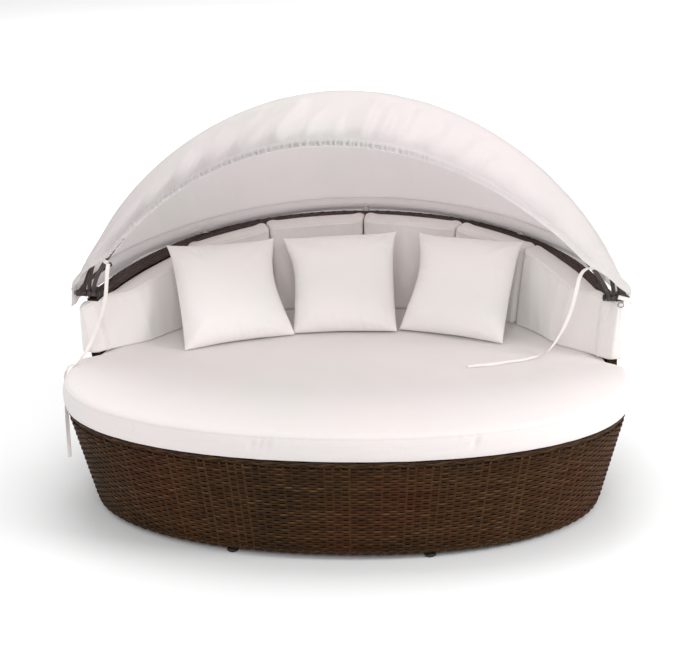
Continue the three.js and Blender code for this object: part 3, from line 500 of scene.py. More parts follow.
def wood_material():
    m, nt, b = new_mat("deck_board")
    co = coords(nt)
    mp = node(nt, "ShaderNodeMapping")
    mp.inputs["Scale"].default_value = (14.0, 1.2, 6.0)
    nt.links.new(co, mp.inputs["Vector"])
    grain = noise(nt, mp.outputs[0], 3.0, 6.0, 0.65, 1.6)
    fine = noise(nt, mp.outputs[0], 30.0, 3.0, 0.6)
    col = ramp(nt, grain, [(0.3, srgb(92, 66, 46)), (0.55, srgb(126, 96, 70)), (0.75, srgb(146, 114, 84))])
    nt.links.new(col, b.inputs["Base Color"])
    nt.links.new(map_range(nt, fine, 0.3, 0.7, 0.6, 0.8), b.inputs["Roughness"])
    bump(nt, math_node(nt, "ADD", grain, fine), 0.3, 0.0008, b)
    return m


M_DECK = wood_material()

# ------------------------------------------------------------------ ties, the free cords
TIE_RIGHT = [
    [-789.2, 95.7, 777.7], [-794, 92.5, 755], [-799, 93.5, 720], [-805, 97.5, 680], [-814, 103.5, 640], [-828, 109.5, 600], [-845, 112.5, 560],
    [-861, 108.5, 520], [-877, 93.5, 485], [-893, 73.5, 459], [-912, 47.5, 440], [-932, 29.5, 435.5], [-943.5, 16.5, 416], [-945, 9.5, 385],
    [-945, 3.5, 350], [-945.5, -1.5, 310], [-946, -5.5, 260], [-946, -7.5, 210], [-946.5, -8.5, 160], [-946.5, -9.5, 118],
]
TIE_LEFT = [
    [796.5, 111, 769.4], [783, 112.5, 760], [771, 113.5, 738], [764, 119.5, 705], [757, 131.5, 665], [748, 149.5, 620], [735, 164.5, 575],
    [716, 173.5, 527], [692, 179.5, 484], [668, 173.5, 456], [640, 161.5, 444.5], [608, 141.5, 442.5], [565, 116.5, 442.5], [523, 98.5, 442.5],
    [465, 76.5, 442.5], [409, 56.5, 442.5],
]
STRAP = [[898, 153.5, 657], [925, 153, 649.5], [955, 151, 638.5], [981, 148, 626]]


def to_frame(points):
    p = np.asarray(points, float) / 1000.0
    p[:, 1] += YC
    return p


def tape(name, points, wide, thick, count, flat_dir, body, node_name, twist=None):
    """Flat tape along a path. flat_dir gives the direction of its width at each knot, by fraction along the path."""
    path = catmull(to_frame(points), count)
    f = np.linspace(0, 1, count)
    keys = np.array([k for k, _ in flat_dir])
    dirs = np.array([d for _, d in flat_dir], float)
    w = np.stack([np.interp(f, keys, dirs[:, k]) for k in range(3)], 1)
    t = np.gradient(path, axis=0)
    t /= np.linalg.norm(t, axis=1)[:, None]
    w -= (w * t).sum(1)[:, None] * t
    w /= np.linalg.norm(w, axis=1)[:, None]
    n = np.cross(t, w)
    sec = []
    for k in range(11):
        a = -1 + 2 * k / 10
        sec.append((a * wide / 2, thick / 2 * (1 - 0.55 * abs(a) ** 6) + 0.00035 * math.cos(a * 9)))
    sec += [(-a, -b) for a, b in sec]
    sec = np.array(sec)
    curl = 0.0007 * np.sin(f * 37 + 1.0)[:, None] * (sec[:, 0] / (wide / 2)) ** 2
    ring = path[:, None] + sec[None, :, 0, None] * w[:, None] + (sec[None, :, 1] + curl)[:, :, None] * n[:, None]
    rows, cols = ring.shape[:2]
    f4 = quads(rows, cols, wrap_c=True)
    caps = []
    for base in (0, (rows - 1) * cols):
        for k in range(10):
            a, b2, c, d = base + k, base + k + 1, base + cols - 2 - k, base + cols - 1 - k
            caps.append([a, b2, c, d] if base else [d, c, b2, a])
    o = mesh_obj(name, ring.reshape(-1, 3), np.vstack([f4, caps]), mats=M_TAPE)
    length = float(np.linalg.norm(np.diff(path, axis=0), axis=1).sum())
    return o, path, length


tie_r, tie_r_path, tie_r_len = tape(
    "tie_right_cloth", TIE_RIGHT, 0.0130, 0.0012, 150,
    [(0, (1, 0.3, 0)), (0.12, (1, 0.2, 0)), (0.28, (1, 0.1, 0.1)), (0.42, (0.8, 0.5, 0)), (0.50, (0.3, 1, 0.1)), (0.57, (0.35, 1, 0)), (0.66, (0.5, 1, 0)), (0.80, (0.85, 0.6, 0)), (1, (1, 0.2, 0))], "bow_front", "tie_right")
tie_l, tie_l_path, tie_l_len = tape(
    "tie_left_cloth", TIE_LEFT, 0.0130, 0.0012, 150,
    [(0, (1, 0.3, 0)), (0.12, (1, 0.2, 0.1)), (0.3, (1, 0.2, 0.3)), (0.5, (0.9, 0.6, 0.3)), (0.62, (0.5, 1, 0.2)), (0.75, (0.3, 1, 0.25)), (0.88, (0.3, 1, 0.45)), (1, (0.3, 1, 0.3))], "bow_front", "tie_left")
strap, strap_path, strap_len = tape(
    "strap_left_cloth", STRAP, 0.0145, 0.0016, 40, [(0, (0, 0, 1)), (1, (0.2, 0.25, 1))], "root", "strap_left")
for o, nm in ((tie_r, "tie_right"), (tie_l, "tie_left")):
    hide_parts(nm)
put(strap, "root", ["strap_left"])
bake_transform(tie_r, "root", "bow_front", start=tuple(tie_r_path[76]), end=tuple(tie_r_path[4]))
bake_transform(tie_l, "root", "bow_front", start=tuple(tie_l_path[90]), end=tuple(tie_l_path[4]))
print("ties", round(tie_r_len, 3), round(tie_l_len, 3), "strap", round(strap_len, 3))


# ------------------------------------------------------------------ woven strand
def outward(verts, faces):
    """Faces turned so that the closed mesh has its outside out."""
    a, b, c = verts[faces[:, 0]], verts[faces[:, 1]], verts[faces[:, 2]]
    vol = (a * np.cross(b, c)).sum()
    if faces.shape[1] == 4:
        d = verts[faces[:, 3]]
        vol += (a * np.cross(c, d)).sum()
    return faces if vol > 0 else faces[:, ::-1]


def band_faces(rows, samples, sec, closed):
    one = quads(samples, sec, wrap_r=closed, wrap_c=True)
    out = (one[None] + (np.arange(rows) * samples * sec)[:, None, None]).reshape(-1, 4)
    if closed:
        return out
    half = sec // 2
    caps = []
    for end, flip in ((0, False), ((samples - 1) * sec, True)):
        for k in range(half - 1):
            q = [end + k, end + k + 1, end + sec - 2 - k, end + sec - 1 - k]
            caps.append(q[::-1] if flip else q)
    caps = np.array(caps)
    return np.vstack([out, (caps[None] + (np.arange(rows) * samples * sec)[:, None, None]).reshape(-1, 4)])


def glints(lit, rows, samples, per, seed, shape, first=0):
    """Painted highlight, a paler top on each arch: lit is (section weights, phase of the first row)."""
    if lit is None:
        return np.zeros(shape)
    weights, first = lit
    k = np.arange(samples)[None]
    j = (np.arange(rows) + first)[:, None]
    c = np.cos(np.pi * k / per + np.pi * j)
    over = smooth(c, 0.05, 0.75)
    r = rng(seed + 700)
    cell = ((k + per // 2) // per) % (samples // per + 1)
    level = r.beta(1.3, 2.2, (rows, samples // per + 1))[np.arange(rows)[:, None], cell]
    patch = 0.6 + 0.4 * wavy2(k / samples * 9, j * 0.09, seed + 701, 8, 0.5, 2.0)
    return (over * level * patch)[..., None] * np.array(weights)


def strands(name, th, D, Z, TD, TZ, ND, NZ, place, sec, shade, mat, closed, seed, per=4, lit=None):
    """Rows of flat strand. D and Z give each row's centre line (inset and height) at every sample of th, (T) its width way and (N) its way out."""
    rows, samples = D.shape
    w, t = np.array([s[0] for s in sec]), np.array([s[1] for s in sec])
    d = D[..., None] + TD[..., None] * w + ND[..., None] * t
    z = Z[..., None] + TZ[..., None] * w + NZ[..., None] * t
    v = place(np.broadcast_to(th[None, :, None], d.shape), d, z)
    f = band_faces(rows, samples, len(sec), closed)
    r = rng(seed)
    segs = samples // (2 * per) + 2
    own = r.uniform(0, 1, (rows, segs))
    tone = own[:, (np.arange(samples) // (2 * per)) % segs] * 0.55 + r.uniform(0, 0.6, (rows, 1))
    tone = np.broadcast_to(tone[..., None], d.shape)
    painted_shading = np.broadcast_to(np.array(shade)[None, None], d.shape)
    verts = v.reshape(-1, 3)
    return mesh_obj(name, verts, outward(verts, f), mats=mat, attrs={"tone": tone, "painted_shading": painted_shading, "glint": glints(lit, rows, samples, per, seed, d.shape)})


SEC6 = [(-4.2e-3, 0.0), (-2.2e-3, 1.1e-3), (2.0e-3, 1.4e-3), (4.2e-3, 0.0), (2.3e-3, -1.0e-3), (-2.3e-3, -1.0e-3)]
# painted shade weights across a strand's section: bright on its upper outer face, dark on its lower edge and back
SHADE6 = [0.15, 0.75, 1.0, 0.55, 0.3, 0.3]
# painted highlight weights across a strand's section, on its upper outer face
LIT6 = [0.0, 0.08, 1.0, 0.35, 0.0, 0.0]
SEC8 = [(-4.0e-3, 0.0), (-3.0e-3, 1.3e-3), (0.0, 1.9e-3), (3.0e-3, 1.3e-3), (4.0e-3, 0.0), (3.0e-3, -1.3e-3), (0.0, -1.9e-3), (-3.0e-3, -1.3e-3)]
SHADE8 = [0.0, 0.75, 1.0, 0.75, 0.0, 0.2, 0.3, 0.2]


def over_under(samples, rows, per, amp, seed, first=0):
    k = np.arange(samples)[None]
    j = (np.arange(rows) + first)[:, None]
    c = np.cos(np.pi * k / per + np.pi * j)
    r = rng(seed)
    return amp * np.sign(c) * np.abs(c) ** 0.75 + r.normal(0, 0.00016, (rows, samples))


def row_jitter(samples, rows, seed, size):
    r = rng(seed)
    x = np.arange(samples) / samples
    out = np.zeros((rows, samples))
    for f in (3, 7, 12, 31):
        out += r.normal(0, 1, (rows, 1)) * np.sin(2 * np.pi * (f * x[None] + r.uniform(0, 1, (rows, 1)))) / f ** 0.35
    return out * size


def place_plan(th, d, z):
    return plan(th, d, z)


# drum: rows of strand round the oval, over and under the stakes
STAKES = 200
PER = 4
ROWS = 32
drum_th, drum_len = even_angles(0, 2 * math.pi, STAKES * PER, closed=True)
row_z = 0.0365 + (np.arange(ROWS) + 0.5) * 0.00877
for part in (0, 1):
    rows = np.arange(16) + 16 * part
    off = over_under(STAKES * PER, 16, PER, 0.0017, 11 + part, 16 * part)
    Z = row_z[rows][:, None] + row_jitter(STAKES * PER, 16, 21 + part, 0.00022)
    D = 0.0026 - off
    one = np.ones_like(D)
    o = strands(f"drum_weave_{'lower' if not part else 'upper'}", drum_th, D, Z, 0 * one, one, -one, 0 * one, place_plan, SEC6, SHADE6, M_STRAND, True, 31 + part, PER, (LIT6, 16 * part))
    put(o, "root", ["base_wicker"])


def strips(name, th, z0, z1, inset, wide, thick, place, mat, steps=12, lean=None):
    """Upright stakes: flat strips at each angle from z0 to z1 (arrays or numbers)."""
    th = np.asarray(th, float)
    z0, z1 = np.broadcast_to(z0, th.shape), np.broadcast_to(z1, th.shape)
    f = np.linspace(0, 1, steps)
    z = z0[:, None] + (z1 - z0)[:, None] * f[None]
    eps = 0.0005
    a = place(th, inset, z0)
    b = place(th + eps, inset, z0)
    per_rad = np.linalg.norm(b - a, axis=-1) / eps
    half = wide / 2 / per_rad
    sec = [(-1, 0), (-0.6, 1), (0.6, 1), (1, 0), (0.6, -1), (-0.6, -1)]
    s = np.array([q[0] for q in sec])
    t = np.array([q[1] for q in sec]) * thick / 2
    T = th[:, None, None] + half[:, None, None] * s[None, None]
    v = place(np.broadcast_to(T, (len(th), steps, 6)), np.broadcast_to(inset - t[None, None], (len(th), steps, 6)), np.broadcast_to(z[..., None], (len(th), steps, 6)))
    fcs = band_faces(len(th), steps, 6, False)
    r = rng(len(th))
    tone = np.broadcast_to(r.uniform(0.2, 1, (len(th), 1, 1)), (len(th), steps, 6))
    verts = v.reshape(-1, 3)
    # painted shade of 0.8 on every stake, and a painted highlight (glint 0.30) on a random share of them
    return mesh_obj(name, verts, outward(verts, fcs), mats=mat, attrs={"tone": tone, "painted_shading": np.full(tone.shape, 0.8), "glint": np.full(tone.shape, 0.30) * (r.uniform(0, 1, (len(th), 1, 1)) > 0.55)})


stake_th = drum_th[PER // 2::PER] if PER > 1 else drum_th
o = strips("drum_stakes", stake_th, 0.030, 0.322, 0.0026, 0.0072, 0.0014, place_plan, M_STRAND)
put(o, "root")


def shell(name, th, d0, d1, z0, z1, place, mat, closed, steps=6):
    """Plain thin liner behind the strands, between two insets, darkened by painted shade."""
    f = np.linspace(0, 1, steps)
    z0, z1 = np.broadcast_to(z0, th.shape), np.broadcast_to(z1, th.shape)
    z = z0[:, None] + (z1 - z0)[:, None] * f[None]
    ring_z = np.concatenate([z, z[:, ::-1]], 1)
    ring_d = np.concatenate([np.full(z.shape, d0), np.full(z.shape, d1)], 1)
    v = place(np.broadcast_to(th[:, None], ring_z.shape), ring_d, ring_z)
    fcs = band_faces(1, len(th), ring_z.shape[1], closed)
    verts = v.reshape(-1, 3)
    return mesh_obj(name, verts, outward(verts, fcs), mats=mat, attrs={"tone": np.full(len(verts), 0.2), "painted_shading": np.full(len(verts), 0.3)})


o = shell("drum_liner", drum_th[::2], 0.0058, 0.0066, 0.036, 0.318, place_plan, M_SKIN, True)
put(o, "root")


# ------------------------------------------------------------------ back and arm walls
def place_rim(th, d, h):
    """Height counted from the rim over the same spot of the plan."""
    p = plan(th, d, 1.0)
    p[..., 2] = rim_height(plan(th, 0.008, 1.0)[..., 1]) + h
    return p


def place_fan(th, d, f):
    """f from 0 at the foot of the wall to 1 at the rim."""
    p = plan(th, d, 1.0)
    top = rim_height(plan(th, 0.008, 1.0)[..., 1])
    p[..., 2] = 0.3425 + (top - 0.008 - 0.3425) * f
    return p


WALL_STAKES = 118
wall_th, wall_len = even_angles(TH_ARM - 0.002, math.pi - TH_ARM + 0.002, WALL_STAKES * PER + 1)
FAN = 42
wall_h = float(np.mean(rim_height(plan(wall_th, 0.008, 1.0)[..., 1]))) - 0.35
for part in (0, 1):
    n = FAN // 2
    rows = np.arange(n) + n * part
    off = over_under(len(wall_th), n, PER, 0.0021, 41 + part, n * part)
    f = (rows[:, None] + 0.5) / FAN
    heights = rim_height(plan(wall_th, 0.008, 1.0)[..., 1]) - 0.3505
    scale = heights / FAN / 0.0084
    # each strand keeps its place in the fan, and is wider where the wall is taller
    w = np.array([s[0] for s in SEC6])
    t = np.array([s[1] for s in SEC6])
    D = (0.0102 - off)[..., None] - t
    F = np.broadcast_to(f[..., None] + (w / 0.0092 / FAN * 0.98), D.shape)
    v = place_fan(np.broadcast_to(wall_th[None, :, None], D.shape), D, F)
    fcs = band_faces(n, len(wall_th), 6, False)
    r = rng(51 + part)
    segs = len(wall_th) // (2 * PER) + 2
    own = r.uniform(0, 1, (n, segs))
    tone = np.broadcast_to((own[:, (np.arange(len(wall_th)) // (2 * PER)) % segs] * 0.55 + r.uniform(0, 0.6, (n, 1)))[..., None], D.shape)
    verts = v.reshape(-1, 3)
    o = mesh_obj(f"wall_weave_outer_{'lower' if not part else 'upper'}", verts, outward(verts, fcs), mats=M_STRAND,
                 attrs={"tone": tone, "painted_shading": np.broadcast_to(np.array(SHADE6), D.shape), "glint": glints((LIT6, n * part), n, len(wall_th), PER, 53 + part, D.shape)})
    put(o, "root", ["back_wicker_outer"])

off = over_under(len(wall_th), FAN, PER, 0.0020, 61)
w = np.array([-3.7e-3, -2.3e-3, 2.3e-3, 3.7e-3, 0.0, 0.0])[:4]
t = np.array([0.0, 1.0e-3, 1.0e-3, 0.0])
inner_th = wall_th[:: max(1, PER // 2)]
off_i = off[:, :: max(1, PER // 2)]
D = (0.0378 + off_i)[..., None] + t
F = np.broadcast_to(((np.arange(FAN)[:, None] + 0.5) / FAN)[..., None] + (w / 0.0084 / FAN * 0.98), D.shape)
v = place_fan(np.broadcast_to(inner_th[None, :, None], D.shape), D, F)
verts = v.reshape(-1, 3)
r = rng(63)
fcs = band_faces(FAN, len(inner_th), 4, False)
o = mesh_obj("wall_weave_inner", verts, outward(verts, fcs), mats=M_STRAND,
             attrs={"tone": np.broadcast_to(r.uniform(0, 1, (FAN, 1, 1)), D.shape), "painted_shading": np.full(D.shape, 0.8)})
put(o, "root", ["back_wicker_inner"])
o = strips("wall_stakes", wall_th[PER // 2::PER], 0.0, 1.0, 0.0102, 0.0072, 0.0014, place_fan, M_STRAND, steps=16)
put(o, "root")
o = shell("wall_liner_outer", wall_th[::2], 0.0134, 0.0142, 0.0, 1.0, place_fan, M_SKIN, False)
put(o, "root")
o = shell("wall_liner_inner", wall_th[::2], 0.0338, 0.0346, 0.0, 1.0, place_fan, M_SKIN, False)
put(o, "root")

# rim band: strands along the rim, over its outer face, its top and its inner face
prof = np.array([(6.4, -25.5), (6.4, -6.8), (7.4, -4.0), (10.2, -2.6), (37.8, -2.6), (40.6, -4.0), (41.6, -6.8), (41.6, -25.5)]) / 1000
fine = resample(prof, 400)
tan = np.gradient(fine, axis=0)
for _ in range(12):
    tan[1:-1] = (tan[:-2] + tan[1:-1] * 2 + tan[2:]) / 4
tan /= np.linalg.norm(tan, axis=1)[:, None]
plen = float(np.linalg.norm(np.diff(prof, axis=0), axis=1).sum())
RIM_ROWS = 10
idx = ((np.arange(RIM_ROWS) + 0.5) / RIM_ROWS * 399).astype(int)
c, tg = fine[idx], tan[idx]
nr = np.stack([-tg[:, 1], tg[:, 0]], 1)
nr *= np.sign((nr * (c - np.array([0.024, -0.03]))).sum(1))[:, None]
off = over_under(len(wall_th), RIM_ROWS, PER, 0.0010, 71)
one = np.ones((RIM_ROWS, len(wall_th)))
D = c[:, :1] + nr[:, :1] * off
H = c[:, 1:] + nr[:, 1:] * off
width = plen / RIM_ROWS * 0.97
sec = [(-width / 2, 0.0), (-width * 0.3, 1.1e-3), (width * 0.3, 1.1e-3), (width / 2, 0.0), (width * 0.3, -0.9e-3), (-width * 0.3, -0.9e-3)]
o = strands("rim_band_weave", wall_th, D, H, tg[:, :1] * one, tg[:, 1:] * one, nr[:, :1] * one, nr[:, 1:] * one, place_rim, sec, SHADE6, M_RIM, False, 72, PER)
put(o, "root", ["back_rim_wrap"])
# the bars and strips under the rim strands, seen through their gaps, darkened by painted shade
inner = fine + np.stack([-tan[:, 1], tan[:, 0]], 1) * 0
core = resample(prof, 22)
centre = np.array([0.024, -0.020])
core = centre + (core - centre) * np.array([0.90, 0.82])
ring_d = np.concatenate([core[:, 0], core[::-1, 0] * 0.0 + np.clip(core[::-1, 0], 0.012, 0.036)])
ring_h = np.concatenate([core[:, 1], np.minimum(core[::-1, 1], -0.008)])
v = place_rim(np.broadcast_to(wall_th[::2, None], (len(wall_th[::2]), len(ring_d))), ring_d[None], ring_h[None])
verts = v.reshape(-1, 3)
fcs = band_faces(1, len(wall_th[::2]), len(ring_d), False)
o = mesh_obj("rim_band_core", verts, outward(verts, fcs), mats=M_SKIN, attrs={"tone": np.full(len(verts), 0.3), "painted_shading": np.full(len(verts), 0.5)})
put(o, "root")


# ------------------------------------------------------------------ bound edges
def braid(name, th, length, centre_d, centre_z, high, deep, wide, thick, pitch, place, mat, closed, seed, shine=1.0):
    """Three flat strands plaited along an edge."""
    n = len(th)
    turns = max(1, round(length / pitch))
    s = np.arange(n) / (n if closed else n - 1) * turns
    ph = 2 * np.pi * (s[None] + np.array([0, 1 / 3, 2 / 3])[:, None])
    Z = centre_z + high * np.sin(ph)
    D = centre_d - deep * np.sin(2 * ph) * 1.0
    w = np.cos(np.arange(8) / 8 * 2 * np.pi) * wide / 2
    t = np.sin(np.arange(8) / 8 * 2 * np.pi) * thick / 2
    slope = np.gradient(Z, axis=1)
    one = np.ones_like(D)
    tilt = np.clip(np.cos(2 * ph), -1, 1) * 0.25
    d = D[..., None] - (np.cos(tilt)[..., None] * t + np.sin(tilt)[..., None] * w * 0.4)
    z = Z[..., None] + w
    v = place(np.broadcast_to(th[None, :, None], d.shape), d, z)
    f = band_faces(3, n, 8, closed)
    tone = 0.35 + 0.5 * (0.5 + 0.5 * np.cos(2 * ph)) + rng(seed).uniform(-0.1, 0.25, (3, 1))
    # painted shade across each plait strand's section, darkest at its lower edge and back; lit below is a painted
    # highlight on its upper front
    painted_shading = np.broadcast_to(np.array([0.9, 1.0, 0.8, 0.5, 0.05, 0.2, 0.3, 0.2]), d.shape)
    verts = v.reshape(-1, 3)
    level = np.clip(0.5 + 0.5 * np.cos(2 * ph), 0, 1) ** 1.5 * (0.55 + 0.45 * wavy(np.arange(n) / n * 12, seed + 3, 6, 0.5, 3)[None])
    lit = np.clip(level * shine, 0, 1)[..., None] * np.array([0.5, 1.0, 0.4, 0, 0, 0, 0, 0])
    return mesh_obj(name, verts, outward(verts, f), mats=mat, attrs={"tone": np.broadcast_to(tone[..., None], d.shape), "painted_shading": painted_shading, "glint": lit})


dense = 64
turns = round(drum_len / 0.27)
edge_th, _ = even_angles(0, 2 * math.pi, turns * dense, closed=True)
o = braid("drum_top_plait", edge_th, drum_len, 0.0066, 0.3288, 0.0066, 0.0012, 0.0088, 0.0034, 0.27, place_plan, M_BORDER, True, 81, 0.35)
put(o, "root", ["base_rim_border"])
# flat strands over the top of the drum, under the seat cushion
off = over_under(STAKES * PER, 4, PER, 0.0007, 83)
D = np.array([0.0165, 0.0235, 0.0300, 0.0355])[:, None] + 0 * off
Z = 0.3378 + off
one = np.ones_like(D)
sec = [(-3.0e-3, 0.0), (-2.0e-3, 0.9e-3), (2.0e-3, 0.9e-3), (3.0e-3, 0.0), (2.0e-3, -0.9e-3), (-2.0e-3, -0.9e-3)]
o = strands("drum_top_flat", drum_th, D, Z, one, 0 * one, 0 * one, one, place_plan, sec, SHADE6, M_BORDER, True, 84, PER)
put(o, "root")
o = shell("drum_top_core", drum_th[::2], 0.0125, 0.0365, 0.3195, 0.3362, place_plan, M_SKIN, True, 3)
put(o, "root")
turns = round(drum_len / 0.125)
foot_th, _ = even_angles(0, 2 * math.pi, turns * (dense // 2), closed=True)
o = braid("drum_foot_plait", foot_th, drum_len, 0.0048, 0.0283, 0.0046, 0.0015, 0.0078, 0.0034, 0.125, place_plan, M_BORDER, True, 85, 0.35)
put(o, "root", ["base_foot_border"])
o = shell("drum_foot_core", drum_th[::2], 0.0085, 0.0145, 0.0215, 0.0345, place_plan, M_SKIN, True, 3)
put(o, "root")

# woven ends of the arms: short strands across, bowed forward between two stakes
for side, nm in ((1, "left"), (-1, "right")):
    rows = 40
    steps = 33
    top = float(rim_height(plan(TH_ARM, 0.024, 1.0)[1]))
    zz = 0.343 + (top - 0.006 - 0.343) * (np.arange(rows) + 0.5) / rows
    x = np.linspace(0, 1, steps)
    ends = np.sqrt(np.clip(1 - (2 * x - 1) ** 10, 0, 1))
    bow_out = 0.0022 * np.cos(2 * np.pi * 1.5 * x[None] + np.pi * np.arange(rows)[:, None])
    fwd = 0.0018 + bow_out * ends
    fwd = fwd * ends + (1 - ends) * -0.0022
    w = np.array([s[0] for s in SEC6]) * 0.86
    t = np.array([s[1] for s in SEC6])
    per_rad = float(np.linalg.norm(plan(TH_ARM, 0.024, 1.0) - plan(TH_ARM - 0.001, 0.024, 1.0)) / 0.001)
    th = TH_ARM - 0.0088 - (fwd[..., None] + t) / per_rad
    d = np.broadcast_to((0.0055 + 0.037 * x)[None, :, None], th.shape)
    z = np.broadcast_to(zz[:, None, None] + w, th.shape)
    if side < 0:
        th = math.pi - th
    v = plan(th, d, 1.0)
    v[..., 2] = z
    verts = v.reshape(-1, 3)
    tone = np.broadcast_to(rng(91 + side).uniform(0, 1, (rows, 1, 1)), th.shape)
    o = mesh_obj(f"arm_end_weave_{nm}", verts, outward(verts, band_faces(rows, steps, 6, False)), mats=M_STRAND,
                 attrs={"tone": tone, "painted_shading": np.broadcast_to(np.array(SHADE6), th.shape), "glint": np.broadcast_to(np.array(LIT6), th.shape) * 0.5})
    put(o, "root", [f"arm_end_{nm}"])
    base = TH_ARM - 0.0078
    a = np.array([base, base - 0.0022])
    ring = np.array([(0.0065, 0.3425), (0.0415, 0.3425), (0.0415, top - 0.006), (0.0065, top - 0.006)])
    grid = []
    for th0 in a:
        th1 = math.pi - th0 if side < 0 else th0
        p = plan(np.full(4, th1), ring[:, 0], 1.0)
        p[:, 2] = ring[:, 1]
        grid.append(p)
    verts = np.vstack(grid)
    fcs = np.vstack([quads(2, 4, wrap_c=True), [[3, 2, 1, 0]], [[4, 5, 6, 7]]])
    o = mesh_obj(f"arm_end_core_{nm}", verts, outward(verts, fcs), mats=M_SKIN, smooth_shade=False, attrs={"tone": np.full(8, 0.2), "painted_shading": np.full(8, 0.3)})
    put(o, "root")
print("weave done")


# ------------------------------------------------------------------ bows and their pivots
def bow_reach(u, rnd):
    return BOW_R * (rnd * np.sqrt(np.maximum(0, 1 - u * u)) + (1 - rnd) * (1 - u * u))


def bow_line(half, count, r0, out=0.0, rnd=BOW_ROUND):
    """Points (x, reach) along a bow from -X to +X, even spacing."""
    u = np.cos(np.pi * (1 - np.arange(12001) / 12000))
    p = np.stack([half * u, bow_reach(u, rnd)], 1)
    p = p[p[:, 1] >= r0]
    d = np.concatenate([[0], np.cumsum(np.linalg.norm(np.diff(p, axis=0), axis=1))])
    s = np.linspace(0, d[-1], count)
    q = np.stack([np.interp(s, d, p[:, 0]), np.interp(s, d, p[:, 1])], 1)
    if np.ndim(out) or out:
        a = np.stack([np.interp(s - 0.002, d, p[:, 0]), np.interp(s - 0.002, d, p[:, 1])], 1)
        b = np.stack([np.interp(s + 0.002, d, p[:, 0]), np.interp(s + 0.002, d, p[:, 1])], 1)
        t = b - a
        t /= np.linalg.norm(t, axis=1)[:, None]
        q = q + np.stack([-t[:, 1], t[:, 0]], 1) * np.reshape(out, (-1, 1) if np.ndim(out) else ())
    return q


def on_angle(x, r, deg):
    w = np.radians(deg)
    return np.stack(np.broadcast_arrays(x, PIVOT_Y + r * np.cos(w), PIVOT_Z + r * np.sin(w)), -1)


def lathe_x(profile, centre, sides=48, lobes=None):
    """Closed profile of (x, radius) turned about an axis along X."""
    p = np.asarray(profile, float)
    w = np.arange(sides) / sides * 2 * np.pi
    r = np.broadcast_to(p[None, :, 1], (sides, len(p)))
    if lobes is not None:
        r = lobes(p[None, :, 0] + 0 * r, r, w[:, None])
    x = np.broadcast_to(p[None, :, 0], r.shape)
    v = np.stack([centre[0] + x, centre[1] + r * np.cos(w)[:, None], centre[2] + r * np.sin(w)[:, None]], -1)
    f = quads(sides, len(p), wrap_r=True, wrap_c=True)
    return v.reshape(-1, 3), f


def join_arrays(parts):
    vs, fs, base = [], [], 0
    for v, f in parts:
        v = np.asarray(v).reshape(-1, 3)
        vs.append(v)
        fs.append(outward(v, np.asarray(f)) + base)
        base += len(v)
    return np.vstack(vs), np.vstack(fs)


def capped_tube(path, radius, sides=20):
    """Round tube with domed ends."""
    t0 = path[0] - path[1]
    t1 = path[-1] - path[-2]
    t0, t1 = t0 / np.linalg.norm(t0), t1 / np.linalg.norm(t1)
    ext = np.vstack([path[0] + t0 * 0.0012, path[0] + t0 * 0.0008, path, path[-1] + t1 * 0.0008, path[-1] + t1 * 0.0012])
    rad = np.concatenate([[radius * 0.02, radius * 0.8], np.full(len(path), radius), [radius * 0.8, radius * 0.02]])
    ring = tube(ext, rad, sides)
    return ring.reshape(-1, 3), quads(len(ext), sides, wrap_c=True)


def eye_profile(w, r, bore, bevel=0.0012):
    h = w / 2
    return [(-h, bore + 0.0004), (-h, r - bevel), (-h + bevel * 0.3, r - bevel * 0.3), (-h + bevel, r), (h - bevel, r), (h - bevel * 0.3, r - bevel * 0.3), (h, r - bevel), (h, bore + 0.0004), (h - 0.0004, bore), (-h + 0.0004, bore)]


BOWS = {
    "front": (X_FRONT, ANG_FRONT, FRONT_ROUND, "bow_front"), "mid_front": (X_MID_FRONT, ANG_MID_FRONT, BOW_ROUND, "bow_mid_front"),
    "mid_rear": (X_MID_REAR, ANG_MID_REAR, BOW_ROUND, "bow_mid_rear"), "rear": (X_REAR, ANG_REAR, BOW_ROUND, "root"),
}
for key, (half, deg, rnd, body) in BOWS.items():
    line = bow_line(half, 260, 0.0075, 0, rnd)
    parts = [capped_tube(on_angle(line[:, 0], line[:, 1], deg), TUBE_R)]
    for s in (-1, 1):
        parts.append(lathe_x(eye_profile(EYE_W, EYE_R, BORE_R), (s * half, PIVOT_Y, PIVOT_Z)))
    v, f = join_arrays(parts)
    o = mesh_obj(f"bow_{key}_tube", v, f, mats=M_BOW)
    put(o, body, [f"canopy_bow_{key}"])

